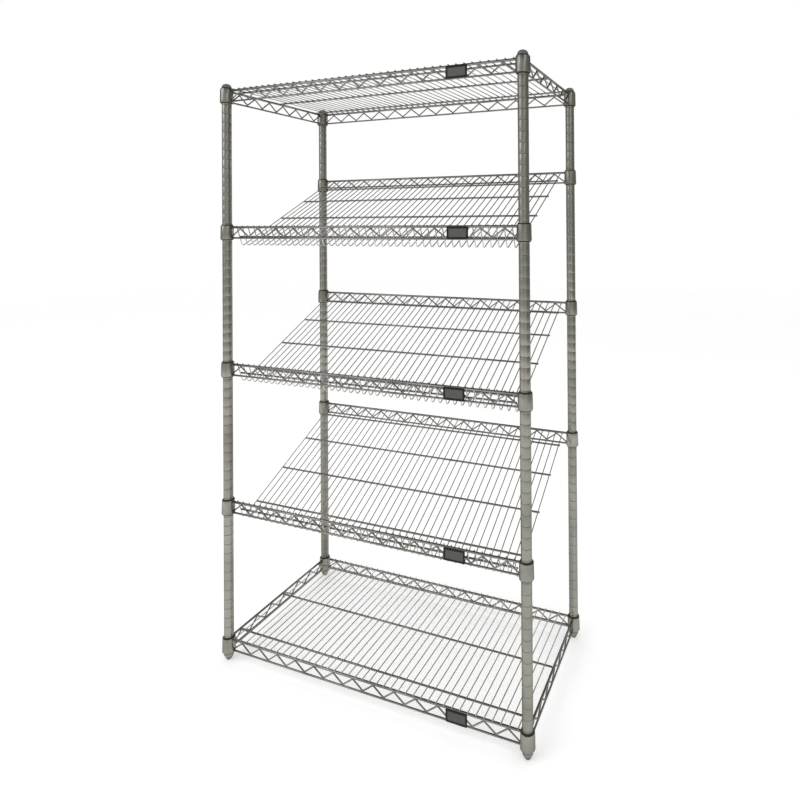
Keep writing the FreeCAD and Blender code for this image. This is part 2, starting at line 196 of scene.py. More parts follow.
def on_axis(height: float) -> np.ndarray:
    """The point of the Z axis at a height."""
    return np.array([0.0, 0.0, height])


def full_turn(steps: int) -> np.ndarray:
    """Angles in radians, spread evenly over one turn."""
    return np.linspace(0.0, 2.0 * math.pi, steps, endpoint=False)


def spread(count: int, pitch: float) -> np.ndarray:
    """Rows of x, y and z that lie on the X axis, one pitch apart, about the origin."""
    return ((np.arange(count) - (count - 1) / 2.0) * pitch)[:, None] * np.array([1.0, 0.0, 0.0])


def around(radius: np.ndarray, angle: np.ndarray, height: np.ndarray | float) -> np.ndarray:
    """Points of a surface about the Z axis: (r cos a, r sin a, z).

    Args:
        radius: distance r from the axis.
        angle: angle a in radians.
        height: height z. All three broadcast to one grid.

    Returns:
        The grid, with x, y and z along its last axis.
    """
    radius, angle, height = np.broadcast_arrays(radius, angle, height)
    return np.stack([radius * np.cos(angle), radius * np.sin(angle), height], axis=-1)


def grid_quads(rows: int, columns: int, wrap_rows: bool) -> np.ndarray:
    """Four-cornered faces of a grid whose points are stored row by row, and whose rows are closed.

    Args:
        rows: number of rows of points.
        columns: number of points in a row.
        wrap_rows: whether the last row joins the first.

    Returns:
        One row of four point numbers for each face.
    """
    row, column = np.meshgrid(np.arange(rows if wrap_rows else rows - 1), np.arange(columns), indexing="ij")
    next_row, next_column = (row + 1) % rows, (column + 1) % columns
    corners = [
        row * columns + column,
        row * columns + next_column,
        next_row * columns + next_column,
        next_row * columns + column,
    ]
    return np.stack(corners, axis=-1).reshape(-1, 4)


def closed_between_poles(rings: np.ndarray, first_pole: np.ndarray, last_pole: np.ndarray) -> Surface:
    """A closed surface of rings with a pole at each end.

    Args:
        rings: points as (ring, place in the ring, xyz).
        first_pole: point that closes the first ring.
        last_pole: point that closes the last ring.

    Returns:
        Quads between the rings, then a fan of triangles to each pole.
    """
    count, sides = rings.shape[:2]
    points = np.concatenate([rings.reshape(-1, 3), [first_pole, last_pole]])
    here = np.arange(sides)
    ahead = (here + 1) % sides
    last_ring = (count - 1) * sides
    first_fan = np.stack([np.full(sides, count * sides), ahead, here], axis=-1)
    last_fan = np.stack([np.full(sides, count * sides + 1), last_ring + here, last_ring + ahead], axis=-1)
    quads = grid_quads(count, sides, wrap_rows=False)
    return Surface(points, [quads, first_fan, last_fan]).outward()


def revolved(profile: np.ndarray, segments: int) -> Surface:
    """A profile that starts and ends on the Z axis, turned about it.

    Args:
        profile: rows of radius and height. The first and last radius are zero.
        segments: number of steps round the axis.

    Returns:
        A closed surface.
    """
    rings = around(profile[1:-1, :1], full_turn(segments), profile[1:-1, 1:])
    return closed_between_poles(rings, on_axis(profile[0, 1]), on_axis(profile[-1, 1]))


def revolved_ring(profile: np.ndarray, segments: int) -> Surface:
    """A closed profile away from the Z axis, turned about it.

    Args:
        profile: rows of radius and height, in order round the section.
        segments: number of steps round the axis.

    Returns:
        A closed ring, such as a tube or a collar.
    """
    points = around(profile[:, :1], full_turn(segments), profile[:, 1:]).reshape(-1, 3)
    return Surface(points, [grid_quads(len(profile), segments, wrap_rows=True)]).outward()


def revolved_sector(profile: np.ndarray, segments: int, start: float, stop: float) -> Surface:
    """A closed profile turned about Z from one angle to another, with both ends closed.

    Args:
        profile: rows of radius and height, in order round the section.
        segments: number of steps between the angles.
        start: first angle in radians.
        stop: last angle in radians.

    Returns:
        A closed part of a ring.
    """
    angle = np.linspace(start, stop, segments + 1)
    points = around(profile[:, 0], angle[:, None], profile[:, 1]).reshape(-1, 3)
    sides = len(profile)
    ends = np.array([np.arange(sides)[::-1], segments * sides + np.arange(sides)])
    return Surface(points, [grid_quads(len(angle), sides, wrap_rows=False), ends]).outward()


def rounded_path(corners: np.ndarray, radius: float, steps: int) -> np.ndarray:
    """A path of straight runs whose inner corners are arcs tangent to both runs.

    Each arc's centre lies on its corner's bisector, at radius / sin(half the corner's angle). Its
    points lie a radius from that centre, at angles spread evenly either side of the bisector.

    Args:
        corners: rows of x, y and z.
        radius: radius of every arc.
        steps: points on each arc.

    Returns:
        Rows of x, y and z from the first corner to the last.
    """
    here = corners[1:-1]
    back, ahead = unit(corners[:-2] - here), unit(corners[2:] - here)
    half = np.arccos(np.clip((back * ahead).sum(-1), -1.0, 1.0)) / 2.0
    bisector, across = unit(back + ahead), unit(ahead - back)
    centre = here + bisector * (radius / np.sin(half))[:, None]
    turn = (math.pi / 2.0 - half)[:, None] * np.linspace(-1.0, 1.0, steps)
    inward = radius * np.cos(turn)[..., None] * bisector[:, None]
    along = radius * np.sin(turn)[..., None] * across[:, None]
    arcs = centre[:, None] - inward + along
    return np.concatenate([corners[:1], arcs.reshape(-1, 3), corners[-1:]])


def wire(path: np.ndarray, diameter: float, normal: Point, sides: int) -> Surface:
    """A round wire along a path that lies in a plane, with rounded ends.

    A ring's point at angle a is p + r (n cos a + b sin a), where n is the plane's normal and b is
    the tangent crossed with n. At an end the rings follow an ellipse down to a pole.

    Args:
        path: rows of x, y and z.
        diameter: the wire's diameter.
        normal: unit normal of the path's plane.
        sides: points round the wire.

    Returns:
        A closed surface.
    """
    radius = diameter / 2.0
    bulge = radius / 2.0
    tangent = unit(np.gradient(path, axis=0))
    tangent[0], tangent[-1] = unit(path[1] - path[0]), unit(path[-1] - path[-2])
    latitudes = np.radians([60.0, 30.0])
    start = path[0] + tangent[0] * (bulge * (1.0 - np.sin(latitudes)))[:, None]
    stop = path[-1] - tangent[-1] * (bulge * (1.0 - np.sin(latitudes[::-1])))[:, None]
    first, last = path[0] + tangent[0] * bulge, path[-1] - tangent[-1] * bulge
    stations = np.concatenate([start, [first], path[1:-1], [last], stop])
    falling = radius * np.cos(latitudes)
    radii = np.concatenate([falling, np.full(len(path), radius), falling[::-1]])
    end_rings = len(latitudes) + 1
    directions = np.concatenate([
        np.repeat(tangent[:1], end_rings, 0), tangent[1:-1], np.repeat(tangent[-1:], end_rings, 0),
    ])
    normals = np.broadcast_to(np.asarray(normal), directions.shape)
    binormals = unit(np.cross(directions, normals))
    angle = full_turn(sides)[None, :, None]
    spoke = np.cos(angle) * normals[:, None] + np.sin(angle) * binormals[:, None]
    rings = stations[:, None] + radii[:, None, None] * spoke
    return closed_between_poles(rings, path[0], path[-1])


def straight_bar(reach: float, height: float, diameter: float, sides: int) -> Surface:
    """A straight wire along X.

    Args:
        reach: how far it goes either side of the Z axis.
        height: height of its axis.
        diameter: its diameter.
        sides: points round it.

    Returns:
        A closed surface.
    """
    path = np.array([[-reach, 0.0, height], [reach, 0.0, height]])
    return wire(path, diameter, (0.0, 1.0, 0.0), sides)


def weld_bead(half_width: float, half_height: float) -> Surface:
    """A small flattened bead at the origin: an ellipsoid on an upright axis.

    Args:
        half_width: its radius.
        half_height: half its height.

    Returns:
        A closed surface.
    """
    rise = np.radians([-90.0, -35.0, 0.0, 35.0, 90.0])
    profile = np.stack([half_width * np.cos(rise), half_height * np.sin(rise)], axis=-1)
    return revolved(profile, 8)


def weld_places(across: np.ndarray, lines: np.ndarray) -> np.ndarray:
    """Where the wires of a mat meet lines that run along X.

    Args:
        across: rows of x, y and z of the wires, on the X axis.
        lines: rows of y and z of the lines.

    Returns:
        Rows of x, y and z: every wire's x with every line's y and z.
    """
    return (across[None] + np.insert(lines, 0, 0.0, axis=1)[:, None]).reshape(-1, 3)


# ---------------------------------------------------------------------------------------------------
# Shader node groups and finishes
# ---------------------------------------------------------------------------------------------------

def feed(socket: bpy.types.NodeSocket, value: object) -> None:
    """Links an input to another node's output, or gives it a value.

    Args:
        socket: the input.
        value: an output socket, or the input's value.
    """
    if isinstance(value, bpy.types.NodeSocket):
        socket.id_data.links.new(value, socket)
    else:
        socket.default_value = value


def add_node(tree: bpy.types.NodeTree, kind: str, **values: object) -> bpy.types.Node:
    """A new node with its settings and inputs.

    Args:
        tree: the node tree.
        kind: the node's type name.
        values: a setting of the node by its name, or what feeds an input by the input's name, with
            underscores for spaces.

    Returns:
        The node.
    """
    node = tree.nodes.new(kind)
    for name, value in values.items():
        if hasattr(node, name):
            setattr(node, name, value)
        else:
            feed(node.inputs[name.replace("_", " ")], value)
    return node


def calculated(tree: bpy.types.NodeTree, operation: str, *values: object) -> bpy.types.NodeSocket:
    """Output of one operation on numbers.

    Args:
        tree: the node tree.
        operation: the operation's name.
        values: its numbers or the sockets that give them.

    Returns:
        The output socket.
    """
    node = add_node(tree, "ShaderNodeMath", operation=operation)
    for socket, value in zip(node.inputs, values):
        feed(socket, value)
    return node.outputs["Value"]


def mixed(tree: bpy.types.NodeTree, kind: str, factor: bpy.types.NodeSocket, first: object,
          second: object) -> bpy.types.NodeSocket:
    """Output of a mix: the first value times 1 - factor, plus the second times the factor.

    Args:
        tree: the node tree.
        kind: FLOAT for numbers or RGBA for colours.
        factor: the factor's socket.
        first: a value or the socket that gives it.
        second: the other.

    Returns:
        The output socket.
    """
    mix = add_node(tree, "ShaderNodeMix", data_type=kind, Factor=factor)
    first_place, second_place, result = MIX_PLACES[kind]
    feed(mix.inputs[first_place], first)
    feed(mix.inputs[second_place], second)
    return mix.outputs[result]


def surface_group(name: str, inputs: dict[str, object]
                  ) -> tuple[bpy.types.NodeTree, bpy.types.Node, bpy.types.Node]:
    """An empty node group that takes a place and gives a colour, a roughness and a height.

    Args:
        name: the group's name.
        inputs: the first value of each input after Vector, which is a colour or a number.

    Returns:
        The group, the node that gives its inputs and the node that takes its outputs.
    """
    tree = bpy.data.node_groups.new(name, "ShaderNodeTree")
    tree.interface.new_socket(name="Vector", in_out="INPUT", socket_type="NodeSocketVector")
    for label, value in inputs.items():
        kind = "NodeSocketFloat" if isinstance(value, float) else "NodeSocketColor"
        tree.interface.new_socket(name=label, in_out="INPUT", socket_type=kind).default_value = value
    for label, kind in (("Color", "Color"), ("Roughness", "Float"), ("Height", "Float")):
        tree.interface.new_socket(name=label, in_out="OUTPUT", socket_type=f"NodeSocket{kind}")
    return tree, tree.nodes.new("NodeGroupInput"), tree.nodes.new("NodeGroupOutput")


def plating_wear_group() -> bpy.types.NodeTree:
    """Cloudy plating: dull patches and fine drawn streaks, for every plated piece.

    Returns:
        A group with inputs Vector, Bright, Dull, Smooth, Rough and Patch Scale, and outputs Color,
        Roughness and Height.
    """
    tree, given, result = surface_group("plating_wear", {
        "Bright": (0.6, 0.6, 0.6, 1.0), "Dull": (0.4, 0.4, 0.4, 1.0), "Smooth": 0.2, "Rough": 0.4,
        "Patch Scale": 12.0,
    })
    place = given.outputs["Vector"]
    patches = add_node(tree, "ShaderNodeTexNoise", Detail=4.0, Roughness=0.55, Vector=place,
                       Scale=given.outputs["Patch Scale"])
    cloudy = add_node(tree, "ShaderNodeMapRange", From_Min=0.35, From_Max=0.68,
                      Value=patches.outputs["Fac"]).outputs["Result"]
    stretched = add_node(tree, "ShaderNodeMapping", Vector=place, Scale=(900.0, 900.0, 60.0))
    streaks = add_node(tree, "ShaderNodeTexNoise", Scale=1.0, Detail=2.0, Vector=stretched.outputs["Vector"])
    feed(result.inputs["Color"], mixed(tree, "RGBA", cloudy, given.outputs["Bright"], given.outputs["Dull"]))
    feed(result.inputs["Roughness"],
         mixed(tree, "FLOAT", cloudy, given.outputs["Smooth"], given.outputs["Rough"]))
    feed(result.inputs["Height"], streaks.outputs["Fac"])
    return tree


def moulded_grain_group() -> bpy.types.NodeTree:
    """Fine pebbled skin with faint scuffs, for every moulded plastic piece.

    Returns:
        A group with inputs Vector, Skin, Scuffed and Grain Scale, and outputs Color, Roughness and
        Height.
    """
    tree, given, result = surface_group("moulded_grain", {
        "Skin": (0.03, 0.03, 0.03, 1.0), "Scuffed": (0.1, 0.1, 0.1, 1.0), "Grain Scale": 1500.0,
    })
    place = given.outputs["Vector"]
    grain = add_node(tree, "ShaderNodeTexVoronoi", Vector=place, Scale=given.outputs["Grain Scale"])
    scuffs = add_node(tree, "ShaderNodeTexNoise", Scale=160.0, Detail=5.0, Roughness=0.7,
                      Vector=place).outputs["Fac"]
    worn = add_node(tree, "ShaderNodeMapRange", From_Min=0.55, From_Max=0.8, Value=scuffs).outputs["Result"]
    sheen = add_node(tree, "ShaderNodeMapRange", To_Min=0.42, To_Max=0.62, Value=scuffs)
    feed(result.inputs["Color"], mixed(tree, "RGBA", worn, given.outputs["Skin"], given.outputs["Scuffed"]))
    feed(result.inputs["Roughness"], sheen.outputs["Result"])
    feed(result.inputs["Height"], grain.outputs["Distance"])
    return tree


def new_material(name: str, **values: object) -> tuple[bpy.types.Material, bpy.types.Node]:
    """A new material with its shader.

    Args:
        name: the material's name.
        values: values of the shader's inputs, with underscores for spaces.

    Returns:
        The material and its shader.
    """
    material = bpy.data.materials.new(name)
    material.use_nodes = True
    shader = material.node_tree.nodes["Principled BSDF"]
    for label, value in values.items():
        feed(shader.inputs[label.replace("_", " ")], value)
    return material, shader


def connect_surface(shader: bpy.types.Node, group: bpy.types.NodeTree, relief: float,
                    **values: object) -> bpy.types.Node:
    """Feeds a shader's colour, roughness and normal from a node group on the piece's own coordinates.

    Args:
        shader: the shader.
        group: the group.
        relief: strength of the fine relief.
        values: values of the group's inputs, with underscores for spaces.

    Returns:
        The group's node.
    """
    tree = shader.id_data
    place = add_node(tree, "ShaderNodeTexCoord").outputs["Object"]
    node = add_node(tree, "ShaderNodeGroup", node_tree=group, Vector=place, **values)
    bump = add_node(tree, "ShaderNodeBump", Strength=relief, Distance=RELIEF_HEIGHT,
                    Height=node.outputs["Height"])
    feed(shader.inputs["Base Color"], node.outputs["Color"])
    feed(shader.inputs["Roughness"], node.outputs["Roughness"])
    feed(shader.inputs["Normal"], bump.outputs["Normal"])
    return node


@dataclass(frozen=True)
class PlatedFinish:
    """Plated steel.

    Args:
        name: the material's name.
        bright: colour where the plating is clean.
        dull: colour of the cloudy patches.
        smooth: roughness where the plating is clean.
        rough: roughness of the cloudy patches.
        patch_scale: patches per metre.
        groove_pitch: distance between grooves that get a painted shade line, or zero.
        groove_start: height of one of the grooves.
        groove_half_width: half the height of the painted shade line at a groove.
        groove_shade: how dark the painted shade line at a groove is, as a share of the dull colour.
        fade: where that line starts and stops fading, in half widths.
        edge_shade_tint: how bright the plating is where it is seen along its surface; its grey darkens the
            outlines of every plated piece as painted shade.
        relief: strength of the drawn streaks.
    """

    name: str
    bright: Colour
    dull: Colour
    smooth: float
    rough: float
    patch_scale: float
    groove_pitch: float = 0.0
    groove_start: float = 0.0
    groove_half_width: float = 0.0
    groove_shade: float = 0.8
    fade: tuple[float, float] = (0.6, 1.3)
    edge_shade_tint: float = 0.55
    relief: float = 0.12

    def groove_shade_mask(self, tree: bpy.types.NodeTree) -> bpy.types.NodeSocket:
        """Mask of the painted shade at the grooves: one in the grooves and zero between them, by the height's
        distance to the nearest groove.

        Args:
            tree: the material's node tree.

        Returns:
            The mask's socket.
        """
        place = add_node(tree, "ShaderNodeTexCoord").outputs["Object"]
        height = add_node(tree, "ShaderNodeSeparateXYZ", Vector=place).outputs["Z"]
        half_pitch = self.groove_pitch / 2.0
        lifted = calculated(tree, "SUBTRACT", height, self.groove_start - half_pitch)
        phase = calculated(tree, "FLOORED_MODULO", lifted, self.groove_pitch)
        distance = calculated(tree, "ABSOLUTE", calculated(tree, "SUBTRACT", phase, half_pitch))
        fade_start, fade_stop = (self.groove_half_width * share for share in self.fade)
        mask = add_node(tree, "ShaderNodeMapRange", Value=distance, From_Min=fade_start,
                        From_Max=fade_stop, To_Min=1.0, To_Max=0.0)
        return mask.outputs["Result"]

    def material(self, wear: bpy.types.NodeTree) -> bpy.types.Material:
        """The finish as a material.

        Args:
            wear: the plating wear group.

        Returns:
            A metallic material whose colour, roughness and fine relief come from the group.
        """
        # Painted shade: the grey specular tint darkens each plated piece towards its outlines.
        tint = (self.edge_shade_tint, self.edge_shade_tint, self.edge_shade_tint, 1.0)
        material, shader = new_material(self.name, Metallic=1.0, Specular_Tint=tint)
        plating = connect_surface(
            shader, wear, self.relief, Bright=(*self.bright, 1.0), Dull=(*self.dull, 1.0),
            Smooth=self.smooth, Rough=self.rough, Patch_Scale=self.patch_scale,
        )
        # Painted shade: along each groove the colour falls to a share of the dull colour.
        if self.groove_pitch:
            tree = material.node_tree
            groove_shade_colour = (*(self.groove_shade * channel for channel in self.dull), 1.0)
            with_groove_shade = mixed(tree, "RGBA", self.groove_shade_mask(tree), plating.outputs["Color"], groove_shade_colour)
            feed(shader.inputs["Base Color"], with_groove_shade)
        return material


@dataclass(frozen=True)
class MouldedFinish:
    """Moulded plastic.

    Args:
        name: the material's name.
        skin: colour of the clean skin.
        scuffed: colour of the scuffs.
        grain_scale: grains per metre.
        gloss: strength of its reflections.
        relief: strength of the grain.
    """

    name: str
    skin: Colour
    scuffed: Colour
    grain_scale: float = 1600.0
    gloss: float = 0.3
    relief: float = 0.25

    def material(self, grain: bpy.types.NodeTree) -> bpy.types.Material:
        """The finish as a material.

        Args:
            grain: the moulded grain group.

        Returns:
            A plastic material whose colour, roughness and fine relief come from the group.
        """
        material, shader = new_material(self.name, Specular_IOR_Level=self.gloss)
        connect_surface(shader, grain, self.relief, Skin=(*self.skin, 1.0), Scuffed=(*self.scuffed, 1.0),
                        Grain_Scale=self.grain_scale)
        return material


@dataclass
class Finishes:
    """Every material of the rack, built once.

    Args:
        post: plating of the posts.
        truss: plating of the trusses and the cross wires.
        mat: plating of the mats' wires: a copy of the truss plating about twice as bright, which is painted
            light.
        collar: plating of the collars.
        cap: plastic of the caps.
        sleeve: plastic of the sleeves.
        label: plastic of the label plates' borders.
        panel: plain panel on a label plate.
        insert: zinc on the post inserts.
        foot: zinc on the levelling feet.
    """

    post: bpy.types.Material
    truss: bpy.types.Material
    mat: bpy.types.Material
    collar: bpy.types.Material
    cap: bpy.types.Material
    sleeve: bpy.types.Material
    label: bpy.types.Material
    panel: bpy.types.Material
    insert: bpy.types.Material
    foot: bpy.types.Material

    @classmethod
    def made(cls, groove_pitch: float, groove_start: float) -> "Finishes":
        """All materials, with painted shade placed in the post's grooves.

        Args:
            groove_pitch: distance between the posts' grooves.
            groove_start: height of one of the grooves.

        Returns:
            The finishes.
        """
        wear, grain = plating_wear_group(), moulded_grain_group()
        plated = {
            "post": PlatedFinish(
                "satin_post_plating", bright=(0.338, 0.330, 0.288), dull=(0.244, 0.237, 0.204),
                smooth=0.24, rough=0.40, patch_scale=7.0, groove_pitch=groove_pitch,
                groove_start=groove_start, groove_half_width=0.9 * MM),
            "truss": PlatedFinish(
                "truss_plating", bright=(0.34, 0.329, 0.309), dull=(0.205, 0.198, 0.184),
                smooth=0.22, rough=0.38, patch_scale=14.0),
            # Painted light: the mats' wires are the same chrome wire as the trusses, but get a copy of its
            # plating about twice as bright.
            "mat": PlatedFinish(
                "lightened_mat_plating", bright=(0.72, 0.705, 0.672), dull=(0.52, 0.507, 0.479),
                smooth=0.22, rough=0.38, patch_scale=14.0),
            "collar": PlatedFinish(
                "collar_plating", bright=(0.330, 0.322, 0.282), dull=(0.220, 0.213, 0.184),
                smooth=0.24, rough=0.42, patch_scale=22.0),
            "insert": PlatedFinish(
                "insert_zinc", bright=(0.40, 0.40, 0.39), dull=(0.28, 0.28, 0.27),
                smooth=0.34, rough=0.5, patch_scale=60.0),
            "foot": PlatedFinish(
                "foot_zinc", bright=(0.26, 0.26, 0.25), dull=(0.15, 0.148, 0.14),
                smooth=0.36, rough=0.55, patch_scale=60.0),
        }
        moulded = {
            "cap": MouldedFinish("grey_moulding", skin=(0.135, 0.133, 0.130), scuffed=(0.19, 0.187, 0.182)),
            "sleeve": MouldedFinish("dark_moulding", skin=(0.022, 0.022, 0.021), scuffed=(0.06, 0.06, 0.058)),
            "label": MouldedFinish("label_border", skin=(0.004, 0.004, 0.0038), scuffed=(0.01, 0.01, 0.0095)),
            "panel": MouldedFinish("label_panel", skin=(0.085, 0.086, 0.081), scuffed=(0.13, 0.131, 0.125),
                                   grain_scale=900.0),
        }
        return cls(
            **{use: finish.material(wear) for use, finish in plated.items()},
            **{use: finish.material(grain) for use, finish in moulded.items()},
        )


# ---------------------------------------------------------------------------------------------------
# Pieces and their places
# ---------------------------------------------------------------------------------------------------

def placed(name: str, data: bpy.types.ID) -> bpy.types.Object:
    """A new object in the scene.

    Args:
        name: its name.
        data: the mesh, lamp or camera that it shows.

    Returns:
        The object, at the origin.
    """
    thing = bpy.data.objects.new(name, data)
    bpy.context.scene.collection.objects.link(thing)
    return thing


def add_piece(name: str, surface: Surface, materials: list[bpy.types.Material], body: str,
              node: str, material_index: np.ndarray | None = None,
              sharp_angle: float = 40.0) -> None:
    """Adds a mesh object at the origin that rides on a body in place of a node.

    Args:
        name: the piece's name.
        surface: its points and faces in the rack's frame.
        materials: its materials.
        body: the body that it moves with.
        node: the node that it stands for.
        material_index: number of each face's material, or none where there is one material.
        sharp_angle: edges that turn more than this many degrees stay sharp.
    """
    faces = [face for group in surface.faces for face in group.tolist()]
    mesh = bpy.data.meshes.new(name)
    mesh.from_pydata(surface.points.tolist(), [], faces)
    for material in materials:
        mesh.materials.append(material)
    mesh.polygons.foreach_set("use_smooth", np.ones(len(faces), bool))
    if material_index is not None:
        mesh.polygons.foreach_set("material_index", material_index.astype(np.int32))
    mesh.set_sharp_from_angle(angle=math.radians(sharp_angle))
    mesh.update()
    piece = placed(name, mesh)
    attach(piece, body)
    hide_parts(node)
    log.info("%s: %d faces, rides on %s", name, len(faces), body)


def add_mat(name: str, wires: Surface, bars: Surface, finishes: Finishes, body: str, node: str) -> None:
    """Adds a mat as one piece: its wires get the lightened copy of the wire plating (painted light), and its
    cross wires the truss plating.

    Args:
        name: the piece's name.
        wires: the front-to-back wires.
        bars: the cross wires and the welds.
        finishes: the rack's materials.
        body: the body that it moves with.
        node: the node that it stands for.
    """
    index = np.repeat([0, 1], [wires.face_count(), bars.face_count()])
    add_piece(name, joined([wires, bars]), [finishes.mat, finishes.truss], body, node, index)


def node_box(node: str) -> tuple[np.ndarray, np.ndarray]:
    """Lowest and highest corners of a node as arrays."""
    low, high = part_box(node)
    return np.array(low), np.array(high)


def node_foot(node: str) -> np.ndarray:
    """The point at height zero below a node's middle."""
    low, high = node_box(node)
    return (low + high) / 2.0 * [1.0, 1.0, 0.0]


# ---------------------------------------------------------------------------------------------------
# Posts
# ---------------------------------------------------------------------------------------------------

@dataclass
class Post:
    """A grooved tube with its cap and its threaded insert.

    Args:
        corner: which post it is.
        groove_pitch: distance between grooves.
        groove_depth: depth of a groove.
        groove_width: height of a groove's mouth.
        groove_margin: how far the grooves keep from the tube's ends.
        wall: the tube's wall.
        bevel: how far the edges of the tube and the insert are broken.
        cap_rim: height of the cap's rim below its dome.
        rim_bevel: how far the rim's lower edge is broken.
        plug_gap: gap between the cap's plug and the tube.
        plug_lead: how far the plug's lower edge is broken.
        insert_gap: gap between the insert's barrel and the tube.
        insert_bore: radius of the insert's threaded bore.
        segments: steps round the tube.
        bottom: height of the tube's lower end, read from its node.
        top: height of its upper end, also read.
        radius: its outer radius, also read.
        axis: the point at height zero on its axis, also read.
    """

    corner: Corner
    groove_pitch: float = 25.4 * MM
    groove_depth: float = 0.35 * MM
    groove_width: float = 2.2 * MM
    groove_margin: float = 4.0 * MM
    wall: float = 1.5 * MM
    bevel: float = 0.4 * MM
    cap_rim: float = 4.6 * MM
    rim_bevel: float = 0.3 * MM
    plug_gap: float = 0.1 * MM
    plug_lead: float = 0.6 * MM
    insert_gap: float = 0.05 * MM
    insert_bore: float = 4.95 * MM
    segments: int = 40
    bottom: float = field(init=False)
    top: float = field(init=False)
    radius: float = field(init=False)
    axis: np.ndarray = field(init=False)

    def __post_init__(self) -> None:
        """Reads the tube's place and radius from its node."""
        node = f"post_{self.corner.value}"
        low, high = node_box(node)
        self.bottom, self.top = float(low[2]), float(high[2])
        self.radius = float(high[0] - low[0]) / 2.0
        self.axis = node_foot(node)

    @staticmethod
    def groove_start() -> float:
        """Height of the groove that holds the bottom shelf: the middle of that shelf's collars."""
        low, high = node_box("bottom_shelf_collars")
        return float(low[2] + high[2]) / 2.0

    def groove_heights(self) -> np.ndarray:
        """Heights of all grooves, one pitch apart, between the tube's ends.

        Returns:
            The heights, from the lowest.
        """
        start = self.groove_start()
        first = math.ceil((self.bottom + self.groove_margin - start) / self.groove_pitch)
        last = math.floor((self.top - self.groove_margin - start) / self.groove_pitch)
        return start + np.arange(first, last + 1) * self.groove_pitch

    def tube(self) -> Surface:
        """The tube: its outer wall dips by a raised-cosine groove at each groove's height.

        Returns:
            A closed ring.
        """
        across = np.linspace(-1.0, 1.0, 7)
        dip = self.groove_depth * (1.0 + np.cos(math.pi * across)) / 2.0
        heights = (self.groove_heights()[:, None] + across * self.groove_width / 2.0).ravel()
        radii = np.tile(self.radius - dip, len(self.groove_heights()))
        bore, edge = self.radius - self.wall, self.radius - self.bevel
        profile = np.concatenate([
            [[bore, self.bottom], [edge, self.bottom], [self.radius, self.bottom + self.bevel]],
            np.stack([radii, heights], axis=-1),
            [[self.radius, self.top - self.bevel], [edge, self.top], [bore, self.top]],
        ])
        return revolved_ring(profile, self.segments).copied(self.axis)

    def cap(self) -> Surface:
        """Plug, rim and dome: the dome's radius and height follow a quarter of an ellipse.

        Returns:
            A closed surface.
        """
        low, high = node_box(f"post_cap_{self.corner.value}")
        rim_top = self.top + self.cap_rim
        plug = self.radius - self.wall - self.plug_gap
        rise = np.radians(np.linspace(0.0, 90.0, 9))
        dome = np.stack([self.radius * np.cos(rise), rim_top + (high[2] - rim_top) * np.sin(rise)], axis=-1)
        profile = np.concatenate([
            [[0.0, low[2]], [plug - self.plug_lead, low[2]], [plug, low[2] + self.plug_lead],
             [plug, self.top], [self.radius - self.rim_bevel, self.top],
             [self.radius, self.top + self.rim_bevel]],
            dome[:-1],
            [[0.0, high[2]]],
        ])
        return revolved(profile, self.segments).copied(self.axis)

    def insert(self) -> Surface:
        """Flange under the tube and a barrel inside it, round a threaded bore.

        Returns:
            A closed ring.
        """
        low, high = node_box(f"foot_insert_{self.corner.value}")
        bore, barrel = self.insert_bore, self.radius - self.wall - self.insert_gap
        profile = np.array([
            [bore, low[2] + self.bevel], [bore + self.bevel, low[2]], [self.radius - self.bevel, low[2]],
            [self.radius, low[2] + self.bevel], [self.radius, self.bottom], [barrel, self.bottom],
            [barrel, high[2]], [bore, high[2]],
        ])
        return revolved_ring(profile, self.segments).copied(self.axis)

    def build(self, finishes: Finishes) -> None:
        """Adds the tube, the cap and the insert.

        Args:
            finishes: the rack's materials.
        """
        corner = self.corner.value
        for name, surface, finish, slot, node in (
            ("post_tube", self.tube(), finishes.post, Slot.POST, "post"),
            ("domed_cap", self.cap(), finishes.cap, Slot.PLASTIC, "post_cap"),
            ("threaded_insert", self.insert(), finishes.insert, Slot.INSERT, "foot_insert"),
        ):
            add_piece(f"{name}_{corner}", surface, [finish], "posts", f"{node}_{corner}")


